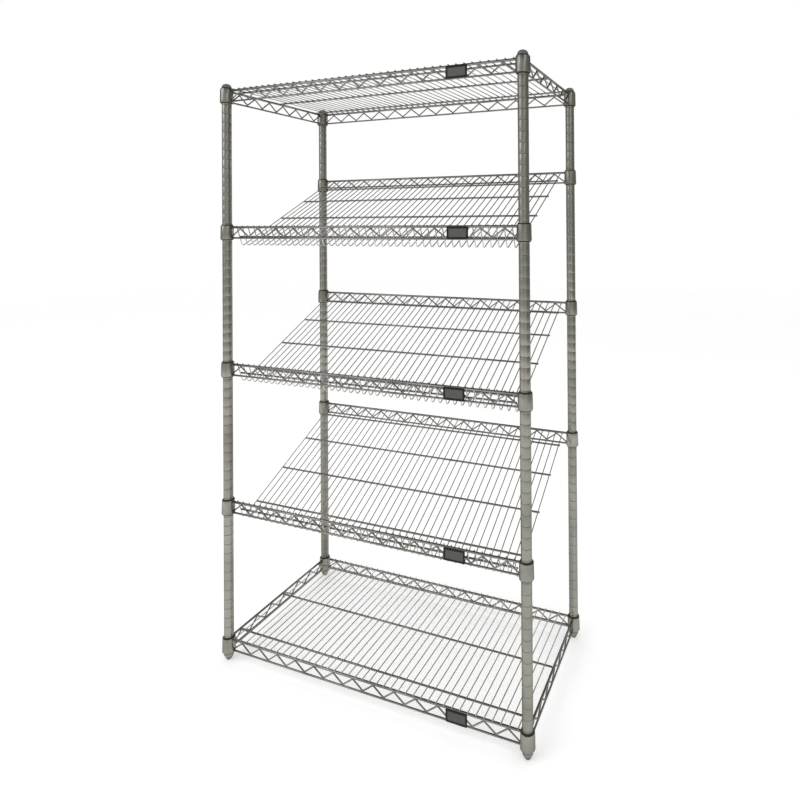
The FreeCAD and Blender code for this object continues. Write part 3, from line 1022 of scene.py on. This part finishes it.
@dataclass
class LevellingFoot:
    """Tapered glide, spanner hexagon and threaded stem of one foot.

    Args:
        corner: which post the foot screws into.
        thread_pitch: rise of the thread in one turn.
        thread_depth: depth of the thread.
        stem_radius: outer radius of the thread.
        runout: length over which the thread shrinks at its top.
        runout_depth: how much it shrinks.
        hexagon_flats: distance across the hexagon's flats.
        hexagon_height: height of the hexagon.
        hexagon_chamfer: height of the cones that turn its corners down.
        glide_height: height of the glide.
        toe: radius of the glide at the floor.
        toe_bend: radius of the bend round the toe.
        heel: radius of the glide under the hexagon.
        heel_edge: how far the heel's edge is broken, inwards and downwards.
        glide_segments: steps round the glide.
        segments: steps round the hexagon and the stem.
    """

    corner: Corner
    thread_pitch: float = 1.5 * MM
    thread_depth: float = 0.8 * MM
    stem_radius: float = 4.7 * MM
    runout: float = 2.0 * MM
    runout_depth: float = 0.6 * MM
    hexagon_flats: float = 19.0 * MM
    hexagon_height: float = 5.0 * MM
    hexagon_chamfer: float = 0.7 * MM
    glide_height: float = 6.0 * MM
    toe: float = 6.5 * MM
    toe_bend: float = 1.6 * MM
    heel: float = 9.0 * MM
    heel_edge: tuple[float, float] = (0.4 * MM, 0.5 * MM)
    glide_segments: int = 32
    segments: int = 24

    def glide(self, floor: float, top: float) -> Surface:
        """Tapered glide: its toe is an arc of 70 degrees, and its heel's edge is broken.

        Args:
            floor: height of its underside.
            top: height of its upper face.

        Returns:
            A closed surface.
        """
        turn = np.radians(np.linspace(0.0, 70.0, 5))
        arc = np.stack([self.toe - self.toe_bend + self.toe_bend * np.sin(turn),
                        floor + self.toe_bend - self.toe_bend * np.cos(turn)], axis=-1)
        inwards, downwards = self.heel_edge
        edge = [[self.heel, top - downwards], [self.heel - inwards, top]]
        profile = np.concatenate([[[0.0, floor]], arc, edge, [[0.0, top]]])
        return revolved(profile, self.glide_segments)

    def hexagon(self, bottom: float, top: float) -> Surface:
        """Hexagonal prism whose corners are turned down by a cone at both ends.

        A flat's distance from the axis at angle a from its middle is inradius / cos a. At both faces
        it is 98 % of that, and of no more than 102 % of the inradius.

        Args:
            bottom: height of its lower face.
            top: height of its upper face.

        Returns:
            A closed surface.
        """
        angle = full_turn(self.segments)
        inradius = self.hexagon_flats / 2.0
        from_flat = (angle + math.pi / 6.0) % (math.pi / 3.0) - math.pi / 6.0
        flats = inradius / np.cos(from_flat)
        turned_down = np.minimum(flats, inradius * 1.02) * 0.98
        radii = np.stack([turned_down, flats, flats, turned_down])
        heights = np.array([bottom, bottom + self.hexagon_chamfer, top - self.hexagon_chamfer, top])
        return closed_between_poles(around(radii, angle, heights[:, None]), on_axis(bottom), on_axis(top))

    def stem(self, bottom: float, top: float) -> Surface:
        """Screw thread: the radius is a triangle wave of height / pitch less angle / a full turn.

        Args:
            bottom: height of its lower end.
            top: height of its upper end.

        Returns:
            A closed surface.
        """
        rings_per_turn = 8
        steps = int(round((top - bottom) / self.thread_pitch * rings_per_turn))
        height = np.linspace(bottom, top, steps)[:, None]
        angle = full_turn(self.segments)[None]
        phase = (height / self.thread_pitch - angle / (2.0 * math.pi)) % 1.0
        fullness = np.clip((top - height) / self.runout, 0.0, 1.0)
        cut = self.thread_depth * np.abs(2.0 * phase - 1.0)
        radius = self.stem_radius - cut - (1.0 - fullness) * self.runout_depth
        return closed_between_poles(around(radius, angle, height), on_axis(bottom), on_axis(top))

    def build(self, finishes: Finishes) -> None:
        """Adds the foot.

        Args:
            finishes: the rack's materials.
        """
        node = f"levelling_foot_{self.corner.value}"
        low, high = node_box(node)
        hexagon_bottom = low[2] + self.glide_height
        hexagon_top = hexagon_bottom + self.hexagon_height
        foot = joined([
            self.glide(low[2], hexagon_bottom),
            self.hexagon(hexagon_bottom, hexagon_top),
            self.stem(hexagon_top, high[2]),
        ])
        add_piece(f"screw_foot_{self.corner.value}", foot.copied(node_foot(node)), [finishes.foot],
                  f"foot_{self.corner.value}", node, sharp_angle=28.0)


# ---------------------------------------------------------------------------------------------------
# Shelves
# ---------------------------------------------------------------------------------------------------

@dataclass
class Collars:
    """Four tapered collars of a shelf and the split sleeves that they seat on.

    Args:
        shelf: the shelf's name.
        height: height of a collar.
        wall: a collar's wall.
        roll: radius of a collar's rolled outer edges.
        bore: radius of the bore at mid height.
        narrowing: how much the radius falls for each unit of height.
        sleeve_below: how far a sleeve reaches below a collar's middle.
        sleeve_above: how far it reaches above it.
        sleeve_edge: how far a sleeve's edges are softened.
        slit: half the width of the slit between two half sleeves.
        post_gap: gap between a sleeve and its post.
        seat_gap: gap between a sleeve and its collar.
        segments: steps round a collar.
    """

    shelf: str
    height: float = 38.0 * MM
    wall: float = 1.9 * MM
    roll: float = 0.7 * MM
    bore: float = 15.3 * MM
    narrowing: float = 0.8 / 38.0
    sleeve_below: float = 21.5 * MM
    sleeve_above: float = 22.0 * MM
    sleeve_edge: float = 0.5 * MM
    slit: float = 0.8 * MM
    post_gap: float = 0.03 * MM
    seat_gap: float = 0.06 * MM
    segments: int = 40

    def centres(self) -> np.ndarray:
        """Middles of the four collars, from the posts and the collars' node.

        Returns:
            Rows of x, y and z.
        """
        low, high = node_box(f"{self.shelf}_collars")
        heights = {Side.FRONT: low[2] + self.height / 2.0, Side.REAR: high[2] - self.height / 2.0}
        return np.array([node_foot(f"post_{corner.value}") + on_axis(heights[corner.side()])
                         for corner in Corner])

    def radius(self, height: float) -> float:
        """Radius of the bore at a height above the collar's middle."""
        return self.bore - self.narrowing * height

    def collar(self) -> Surface:
        """Conical ring, whose outer edges are quarter circles.

        Returns:
            A closed ring about the origin.
        """
        half = self.height / 2.0
        turn = np.radians(np.linspace(0.0, 90.0, 4))
        across, along = self.roll * np.sin(turn), self.roll * np.cos(turn)
        inset = self.wall - self.roll
        lower = np.stack([self.radius(-half) + inset + across, self.roll - half - along], axis=-1)
        upper = np.stack([self.radius(half) + inset + along, half - self.roll + across], axis=-1)
        bore = [[self.radius(half), half], [self.radius(-half), -half]]
        return revolved_ring(np.concatenate([lower, upper, bore]), self.segments)

    def half_sleeve(self) -> Surface:
        """Half shell that fills a collar's cone, with softened outer edges and half a slit each side.

        Returns:
            A closed part of a ring about the origin.
        """
        post_low, post_high = node_box("post_front_left")
        inside = float(post_high[0] - post_low[0]) / 2.0 + self.post_gap
        low, high, edge = -self.sleeve_below, self.sleeve_above, self.sleeve_edge
        outer_low, outer_high = self.radius(low) - self.seat_gap, self.radius(high) - self.seat_gap
        profile = np.array([
            [inside, low], [outer_low - edge, low], [outer_low, low + edge],
            [outer_high, high - 2.0 * edge], [outer_high - 1.5 * edge, high], [inside, high],
        ])
        start = math.asin(self.slit / inside)
        return revolved_sector(profile, self.segments // 2, start, math.pi - start)

    def build(self, finishes: Finishes) -> None:
        """Adds the four collars, which lift with the shelf, and the sleeves, which stay on the posts.

        Args:
            finishes: the rack's materials.
        """
        centres = self.centres()
        add_piece(f"{self.shelf}_tapered_collars", self.collar().copied(centres), [finishes.collar],
                  self.shelf, f"{self.shelf}_collars")
        half = self.half_sleeve()
        both = joined([half, half.turned(math.pi)])
        add_piece(f"{self.shelf}_half_sleeves", both.copied(centres), [finishes.sleeve], "posts",
                  f"{self.shelf}_split_sleeves")


@dataclass
class Truss:
    """Two rails with a zigzag wire between them.

    Args:
        shelf: the shelf's name.
        side: where on the shelf it is.
        spans: straight runs of the zigzag.
        rail: diameter of the upper rail.
        lower_rail: diameter of the lower rail.
        zigzag: diameter of the zigzag wire.
        bend: radius of the zigzag's bends, at the middle of the wire.
        bend_steps: points on each bend.
        seat: distance from a rail's surface to the zigzag's axis at a bend, in wire diameters.
        embedded: how far the rails' ends reach into the collars' walls.
        bead: half the width and half the height of a weld.
    """

    shelf: str
    side: Side
    spans: int
    rail: float = 6.35 * MM
    lower_rail: float = 5.0 * MM
    zigzag: float = 3.9 * MM
    bend: float = 3.4 * MM
    bend_steps: int = 5
    seat: float = 0.42
    embedded: float = 1.2 * MM
    bead: tuple[float, float] = (3.0 * MM, 1.5 * MM)

    def lattice(self, reach: float, ceiling: float, floor: float) -> list[Surface]:
        """The zigzag and its welds, along X.

        A bend cuts its corner off by bend (1 / sin(half the corner's angle) - 1), so the corners
        stand that much further out.

        Args:
            reach: how far it goes either side of the middle.
            ceiling: height of the upper rail's underside.
            floor: height of the lower rail's upper side.

        Returns:
            The wire, then the welds at its bends.
        """
        peak, trough = ceiling - self.zigzag * self.seat, floor + self.zigzag * self.seat
        half_angle = math.atan2(reach / self.spans * 2.0, peak - trough)
        cut_off = self.bend * (1.0 / math.sin(half_angle) - 1.0)
        along = np.linspace(-reach, reach, self.spans + 1)
        at_floor = np.arange(self.spans + 1) % 2 == 0
        corners = np.stack([along, np.zeros_like(along),
                            np.where(at_floor, trough - cut_off, peak + cut_off)], axis=-1)
        welds = np.stack([along, np.zeros_like(along), np.where(at_floor, floor, ceiling)], axis=-1)[1:-1]
        return [
            wire(rounded_path(corners, self.bend, self.bend_steps), self.zigzag, (0.0, 1.0, 0.0), THIN_SIDES),
            weld_bead(*self.bead).copied(welds),
        ]

    def build(self, finishes: Finishes) -> None:
        """Adds the truss, worked out along X and turned for a side truss.

        Args:
            finishes: the rack's materials.
        """
        node = f"{self.shelf}_{self.side.value}_truss"
        low, high = node_box(node)
        sideways = self.side in (Side.LEFT, Side.RIGHT)
        reach = float((high - low)[1 if sideways else 0]) / 2.0
        top, bottom = float(high[2]) - self.rail / 2.0, float(low[2]) + self.lower_rail / 2.0
        truss = joined([
            straight_bar(reach + self.embedded, top, self.rail, RAIL_SIDES),
            straight_bar(reach + self.embedded, bottom, self.lower_rail, CROSS_SIDES),
            *self.lattice(reach, top - self.rail / 2.0, bottom + self.lower_rail / 2.0),
        ])
        if sideways:
            truss = truss.turned(math.pi / 2.0)
        add_piece(f"{self.shelf}_{self.side.value}_zigzag", truss.copied(node_foot(node)),
                  [finishes.truss], self.shelf, node)


@dataclass
class FlatMat:
    """Straight wires on three cross wires.

    Args:
        shelf: the shelf's name.
        count: number of wires.
        pitch: distance between wires.
        diameter: a wire's diameter.
        cross: diameter of a cross wire.
        cross_spacing: distance between cross wires.
        sunk: how far a cross wire is welded into the wires.
        overhang: how far the cross wires pass the node's ends, into the side trusses.
        rail_inset: how far the rails' axes lie inside the wires' ends.
        bead: half the width and half the height of a weld.
    """

    shelf: str
    count: int = 41
    pitch: float = 20.8 * MM
    diameter: float = 2.8 * MM
    cross: float = 5.0 * MM
    cross_spacing: float = 170.0 * MM
    sunk: float = 0.1 * MM
    overhang: float = 0.4 * MM
    rail_inset: float = 3.2 * MM
    bead: tuple[float, float] = (2.1 * MM, 0.9 * MM)

    def build(self, finishes: Finishes) -> None:
        """Adds the mat.

        Args:
            finishes: the rack's materials.
        """
        node = f"{self.shelf}_mat"
        low, high = node_box(node)
        height = float(high[2]) - self.diameter / 2.0
        underside = height - self.diameter / 2.0
        across = spread(self.count, self.pitch)
        run = np.array([[0.0, low[1], height], [0.0, high[1], height]])
        wires = wire(run, self.diameter, (1.0, 0.0, 0.0), THIN_SIDES).copied(across)
        lines = np.array([-self.cross_spacing, 0.0, self.cross_spacing])
        bar = straight_bar(float(high[0]) + self.overhang, underside - self.cross / 2.0 + self.sunk,
                           self.cross, CROSS_SIDES)
        bars = bar.copied(lines[:, None] * [0.0, 1.0, 0.0])
        welded = np.array([*lines, low[1] + self.rail_inset, high[1] - self.rail_inset])
        weld_lines = np.stack([welded, np.full_like(welded, underside)], axis=-1)
        beads = weld_bead(*self.bead).copied(weld_places(across, weld_lines))
        add_mat(f"{self.shelf}_flat_wires", wires, joined([bars, beads]), finishes, self.shelf, node)


@dataclass
class SlantedMat:
    """Sloping wires that turn up behind the front truss as a lip, on five cross wires.

    Places are given behind the front rail and above the middle of the front collars.

    Args:
        shelf: the shelf's name.
        count: number of wires.
        pitch: distance between wires.
        diameter: a wire's diameter.
        cross: diameter of a cross wire.
        rail: diameter of a truss's upper rail.
        rail_height: height of that rail's axis.
        bend: where the slope and the lip would meet without the bend between them.
        bend_radius: radius of that bend, at the middle of the wire.
        bend_steps: points on that bend.
        lip_top: the lip's upper end, behind the front truss's upper rail.
        rear_end: a wire's rear end, from the axis of the rear truss's upper rail.
        lip_wire_height: height of the cross wire behind the lip.
        cross_lines: distances of the cross wires under the slope behind the front rail.
        sunk: how far a cross wire is welded into the wires.
        bead: half the width and half the height of a weld.
    """

    shelf: str
    count: int = 42
    pitch: float = 19.9 * MM
    diameter: float = 2.8 * MM
    cross: float = 5.0 * MM
    rail: float = 6.35 * MM
    rail_height: float = 14.0 * MM
    bend: tuple[float, float] = (24.5 * MM, -39.0 * MM)
    bend_radius: float = 8.0 * MM
    bend_steps: int = 12
    lip_top: tuple[float, float] = (3.0 * MM, 19.0 * MM)
    rear_end: tuple[float, float] = (-1.6 * MM, -3.9 * MM)
    lip_wire_height: float = -14.0 * MM
    cross_lines: tuple[float, ...] = (75.9 * MM, 184.0 * MM, 288.6 * MM, 382.1 * MM)
    sunk: float = 0.05 * MM
    bead: tuple[float, float] = (1.8 * MM, 1.1 * MM)

    def rail_axis(self, side: Side) -> np.ndarray:
        """Y and z of the axis of a truss's upper rail."""
        low, high = node_box(f"{self.shelf}_{side.value}_truss")
        return np.array([(low[1] + high[1]) / 2.0, high[2] - self.rail / 2.0])

    def build(self, finishes: Finishes) -> None:
        """Adds the mat: its wires end against the upper rails of both trusses.

        Args:
            finishes: the rack's materials.
        """
        node = f"{self.shelf}_mat"
        front_rail, rear_rail = self.rail_axis(Side.FRONT), self.rail_axis(Side.REAR)
        origin = front_rail - [0.0, self.rail_height]
        bend, lip_top, rear_end = origin + self.bend, origin + self.lip_top, rear_rail + self.rear_end
        slope, lip = unit(rear_end - bend), unit(lip_top - bend)
        under_slope, behind_lip = np.array([slope[1], -slope[0]]), np.array([lip[1], -lip[0]])
        corners = np.insert(np.array([rear_end, bend, lip_top]), 0, 0.0, axis=1)
        across = spread(self.count, self.pitch)
        path = rounded_path(corners, self.bend_radius, self.bend_steps)
        wires = wire(path, self.diameter, (1.0, 0.0, 0.0), THIN_SIDES).copied(across)
        on_slope = [bend + slope * ((line - self.bend[0]) / slope[0]) for line in self.cross_lines]
        on_lip = bend + lip * ((self.lip_wire_height - self.bend[1]) / lip[1])
        lines = np.array([*on_slope, on_lip])
        outward = np.array([under_slope] * len(on_slope) + [behind_lip])
        centres = lines + outward * ((self.diameter + self.cross) / 2.0 - self.sunk)
        bar = straight_bar(float(node_box(node)[1][0]), 0.0, self.cross, CROSS_SIDES)
        bars = bar.copied(np.insert(centres, 0, 0.0, axis=1))
        weld_lines = np.array([
            *(lines + outward * self.diameter / 2.0), front_rail + behind_lip * self.rail / 2.0, rear_end,
        ])
        beads = weld_bead(*self.bead).copied(weld_places(across, weld_lines))
        add_mat(f"{self.shelf}_lipped_wires", wires, joined([bars, beads]), finishes, self.shelf, node)


@dataclass
class LabelPlate:
    """Bare label plate with a raised border.

    Args:
        shelf: the shelf's name.
        sheet: thickness of the plate.
        border: width of the border.
        relief: how far the border stands out.
        edge: how far the border's edges are softened.
        panel_margin: width of the outermost ring of faces on the panel.
        corner: radius of the plate's corners.
        least_corner: least radius of the corners further in.
    """

    shelf: str
    sheet: float = 1.2 * MM
    border: float = 5.0 * MM
    relief: float = 0.5 * MM
    edge: float = 0.35 * MM
    panel_margin: float = 2.0 * MM
    corner: float = 3.0 * MM
    least_corner: float = 0.6 * MM

    def outline(self, width: float, height: float, radius: float) -> np.ndarray:
        """Rectangle with rounded corners: each corner is a quarter circle round its own centre.

        Args:
            width: the rectangle's width.
            height: its height.
            radius: radius of its corners.

        Returns:
            Rows of two places, in order round the outline.
        """
        quarter = np.radians(np.linspace(0.0, 90.0, 6))
        turns = (quarter[None] + np.radians([0.0, 90.0, 180.0, 270.0])[:, None]).ravel()
        signs = np.repeat([[1, 1], [-1, 1], [-1, -1], [1, -1]], len(quarter), axis=0)
        centres = signs * (np.array([width, height]) / 2.0 - radius)
        return centres + radius * np.stack([np.cos(turns), np.sin(turns)], axis=-1)

    def ring(self, width: float, height: float, inset: float, depth: float) -> np.ndarray:
        """The plate's outline, set in and placed at a depth.

        Args:
            width: the plate's width.
            height: its height.
            inset: how far the outline is set in.
            depth: its y.

        Returns:
            Rows of x, y and z.
        """
        radius = max(self.corner - inset, self.least_corner)
        return np.insert(self.outline(width - 2.0 * inset, height - 2.0 * inset, radius), 1, depth, axis=1)

    def build(self, finishes: Finishes) -> None:
        """Adds the plate: rings of the outline step in from the back, round the border to the panel.

        Args:
            finishes: the rack's materials.
        """
        node = f"{self.shelf}_label_plate"
        low, high = node_box(node)
        width, height = float(high[0] - low[0]), float(high[2] - low[2])
        face = float(low[1])
        back, panel = face + self.sheet, face + self.relief
        steps = (
            (0.0, back), (0.0, face + self.edge), (self.edge, face), (self.border - self.edge, face),
            (self.border, panel), (self.border + self.panel_margin, panel),
        )
        rings = np.array([self.ring(width, height, inset, depth) for inset, depth in steps])
        plate = closed_between_poles(rings, np.array([0.0, back, 0.0]), np.array([0.0, panel, 0.0]))
        sides = rings.shape[1]
        on_panel = np.zeros(plate.face_count())
        on_panel[(len(steps) - 2) * sides:(len(steps) - 1) * sides] = 1.0
        on_panel[-sides:] = 1.0
        middle = (low + high) / 2.0 * [1.0, 0.0, 1.0]
        add_piece(f"{self.shelf}_bare_label", plate.copied(middle), [finishes.label, finishes.panel],
                  self.shelf, node, on_panel)


@dataclass
class Shelf:
    """One shelf with its mat, trusses, collars, sleeves and label plate.

    Args:
        name: the shelf's name, which is also its body's.
        form: flat or slanted.
        long_spans: straight runs of the zigzag in a front or rear truss.
        side_spans: the same for a side truss.
    """

    name: str
    form: ShelfForm
    long_spans: int = 28
    side_spans: int = 13

    def build(self, finishes: Finishes) -> None:
        """Adds every piece of the shelf.

        Args:
            finishes: the rack's materials.
        """
        if self.form is ShelfForm.FLAT:
            FlatMat(self.name).build(finishes)
            for side in (Side.LEFT, Side.RIGHT):
                Truss(self.name, side, self.side_spans).build(finishes)
        else:
            SlantedMat(self.name).build(finishes)
        for side in (Side.FRONT, Side.REAR):
            Truss(self.name, side, self.long_spans).build(finishes)
        Collars(self.name).build(finishes)
        LabelPlate(self.name).build(finishes)


# ---------------------------------------------------------------------------------------------------
# Studio
# ---------------------------------------------------------------------------------------------------

def level_corners(x_range: tuple[float, float], y_range: tuple[float, float], height: float) -> list[Point]:
    """Corners of a level rectangle, in order round it.

    Args:
        x_range: its least and greatest x.
        y_range: its least and greatest y.
        height: its height.

    Returns:
        Four corners.
    """
    (left, right), (front, rear) = x_range, y_range
    return [(left, front, height), (right, front, height), (right, rear, height), (left, rear, height)]


def upright_corners(start: tuple[float, float], stop: tuple[float, float], bottom: float,
                    top: float) -> list[Point]:
    """Corners of an upright rectangle, in order round it.

    Args:
        start: x and y of one end.
        stop: x and y of the other.
        bottom: height of its lower edge.
        top: height of its upper edge.

    Returns:
        Four corners.
    """
    return [(*start, bottom), (*stop, bottom), (*stop, top), (*start, top)]


def add_stage_sheet(name: str, corners: list[Point], material: bpy.types.Material) -> bpy.types.Object:
    """Adds a four-cornered sheet that isn't part of the rack.

    Args:
        name: its name.
        corners: its corners.
        material: its material.

    Returns:
        The object.
    """
    mesh = bpy.data.meshes.new(name)
    mesh.from_pydata(corners, [], [(0, 1, 2, 3)])
    mesh.materials.append(material)
    sheet = placed(name, mesh)
    return sheet


@dataclass(frozen=True)
class Screen:
    """A grey screen that shows only in reflections, and neither lights nor hides anything.

    Args:
        name: its name.
        tone: its brightness, where 1 is white.
        corners: its corners.
    """

    name: str
    tone: float
    corners: list[Point]

    def add(self) -> None:
        """Adds the screen."""
        material, _ = new_material(self.name, Base_Color=BLACK, Specular_IOR_Level=0.0, Emission_Color=WHITE,
                                   Emission_Strength=self.tone)
        screen = add_stage_sheet(self.name, self.corners, material)
        screen.visible_camera = screen.visible_diffuse = screen.visible_transmission = False
        screen.visible_shadow = screen.visible_volume_scatter = False


@dataclass(frozen=True)
class Lamp:
    """A square soft lamp.

    Args:
        name: its name.
        place: where it stands, in metres.
        size: length of its sides.
        power: its power in watts.
    """

    name: str
    place: Point
    size: float
    power: float

    def add(self, target: Point) -> None:
        """Adds the lamp, facing a point.

        Args:
            target: the point.
        """
        data = bpy.data.lights.new(self.name, "AREA")
        data.size, data.energy = self.size, self.power
        place = Vector(self.place)
        turn = (Vector(target) - place).to_track_quat("-Z", "Y").to_matrix().to_4x4()
        placed(self.name, data).matrix_world = Matrix.Translation(place) @ turn


@dataclass
class Studio:
    """Pale floor, white background, soft lamps, grey screens and the camera.

    Args:
        eye: the camera's place in metres.
        yaw: turn of its view from +Y towards -X, in degrees.
        pitch: tilt of its view upwards, in degrees.
        roll: roll about its view, in degrees.
        focal_pixels: focal length in pixels of the frame.
        centre_pixels: where the view's axis meets the frame, from its top left corner.
        frame_pixels: width and height of the square frame.
        light_level: strength of the even light.
        floor_lift: how much the floor is brightened where it is seen, to match the background.
        floor_reach: how far the floor goes either side of the rack.
        walls_x: x of the left and the right screen.
        walls_y: y of the front screen, and of the side screens' rear ends.
        right_start: y of the right screen's front end.
        walls_z: heights of the upright screens' edges.
        ceiling: height of the overhead screen.
        ceiling_x: x of the overhead screen's sides.
        ceiling_y: y of its front and rear edges.
        aim: the point that the lamps face.
    """

    eye: Point = (0.876, -1.486, 1.211)
    yaw: float = 21.02
    pitch: float = 0.32
    roll: float = 0.4
    focal_pixels: float = 595.0
    centre_pixels: tuple[float, float] = (502.3, 217.8)
    frame_pixels: float = 800.0
    light_level: float = 0.75
    floor_lift: float = 0.3
    floor_reach: float = 9.0
    walls_x: tuple[float, float] = (-3.4, 2.6)
    walls_y: tuple[float, float] = (-3.4, 3.2)
    right_start: float = -2.4
    walls_z: tuple[float, float] = (0.3, 3.2)
    ceiling: float = 3.3
    ceiling_x: tuple[float, float] = (-4.0, 4.0)
    ceiling_y: tuple[float, float] = (-4.0, 8.0)
    aim: Point = (0.0, 0.0, 0.8)

    def add_camera(self) -> None:
        """Adds the camera: it looks along +Y, then rolls, tilts and turns."""
        data = bpy.data.cameras.new("view")
        data.sensor_width = 36.0
        data.lens = self.focal_pixels / self.frame_pixels * data.sensor_width
        data.shift_x = 0.5 - self.centre_pixels[0] / self.frame_pixels
        data.shift_y = self.centre_pixels[1] / self.frame_pixels - 0.5
        data.clip_start = 0.01
        camera = placed("view", data)
        turn = Matrix.Identity(4)
        for degrees, axis in ((self.yaw, "Z"), (self.pitch, "X"), (self.roll, "Y"), (90.0, "X")):
            turn = turn @ Matrix.Rotation(math.radians(degrees), 4, axis)
        camera.matrix_world = Matrix.Translation(Vector(self.eye)) @ turn
        bpy.context.scene.camera = camera

    @staticmethod
    def shown_rays(tree: bpy.types.NodeTree) -> bpy.types.NodeSocket:
        """One for rays from the camera or by way of metal or glass, and zero for those that only light.

        Args:
            tree: the node tree of the floor or the world.

        Returns:
            The output socket.
        """
        path = add_node(tree, "ShaderNodeLightPath").outputs
        seen = calculated(tree, "MAXIMUM", path["Is Camera Ray"], path["Is Glossy Ray"])
        return calculated(tree, "MAXIMUM", seen, path["Is Transmission Ray"])

    def add_floor(self) -> None:
        """Adds a wide pale floor, brightened only where it is seen."""
        material, shader = new_material("pale_floor", Base_Color=(0.9, 0.9, 0.9, 1.0), Roughness=0.9,
                                        Emission_Color=WHITE)
        tree = material.node_tree
        glow = add_node(tree, "ShaderNodeMapRange", To_Max=self.floor_lift, Value=self.shown_rays(tree))
        feed(shader.inputs["Emission Strength"], glow.outputs["Result"])
        span = (-self.floor_reach, self.floor_reach)
        add_stage_sheet("floor", level_corners(span, span, 0.0), material)

    def add_world(self) -> None:
        """Lights the scene evenly, and shows white to the camera and in reflections."""
        world = bpy.data.worlds.new("studio")
        world.use_nodes = True
        tree = world.node_tree
        strength = add_node(tree, "ShaderNodeMapRange", To_Min=self.light_level, To_Max=1.0,
                            Value=self.shown_rays(tree))
        background = tree.nodes["Background"]
        feed(background.inputs["Strength"], strength.outputs["Result"])
        feed(background.inputs["Color"], WHITE)
        bpy.context.scene.world = world

    def screens(self) -> tuple[Screen, ...]:
        """The screens above the rack and on three sides of it.

        Returns:
            The overhead, right, front and left screens.
        """
        (left, right), (front, rear) = self.walls_x, self.walls_y
        overhead = level_corners(self.ceiling_x, self.ceiling_y, self.ceiling)
        return (
            Screen("overhead_screen", tone=0.14, corners=overhead),
            Screen("right_screen", tone=0.3,
                   corners=upright_corners((right, self.right_start), (right, rear), *self.walls_z)),
            Screen("front_screen", tone=0.58,
                   corners=upright_corners((left, front), (right, front), *self.walls_z)),
            Screen("left_screen", tone=0.5,
                   corners=upright_corners((left, front), (left, rear), *self.walls_z)),
        )

    def build(self) -> None:
        """Adds everything round the rack."""
        self.add_camera()
        self.add_floor()
        self.add_world()
        for screen in self.screens():
            screen.add()
        Lamp("key_lamp", place=(-2.2, -2.6, 2.8), size=3.0, power=44.0).add(self.aim)
        Lamp("fill_lamp", place=(2.8, -1.2, 2.0), size=2.4, power=14.0).add(self.aim)
        bpy.context.scene.view_settings.view_transform = "Standard"


def main() -> None:
    """Builds the rack from its floor up and reports each piece."""
    logging.basicConfig(level=logging.INFO, format="%(name)s: %(message)s")
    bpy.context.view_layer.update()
    Studio().build()
    finishes = Finishes.made(Post.groove_pitch, Post.groove_start())
    for corner in Corner:
        Post(corner).build(finishes)
        LevellingFoot(corner).build(finishes)
    for name, form in (
        ("bottom_shelf", ShelfForm.FLAT),
        ("lower_shelf", ShelfForm.SLANTED),
        ("middle_shelf", ShelfForm.SLANTED),
        ("upper_shelf", ShelfForm.SLANTED),
        ("top_shelf", ShelfForm.FLAT),
    ):
        Shelf(name, form).build(finishes)


if __name__ == "__main__":
    main()
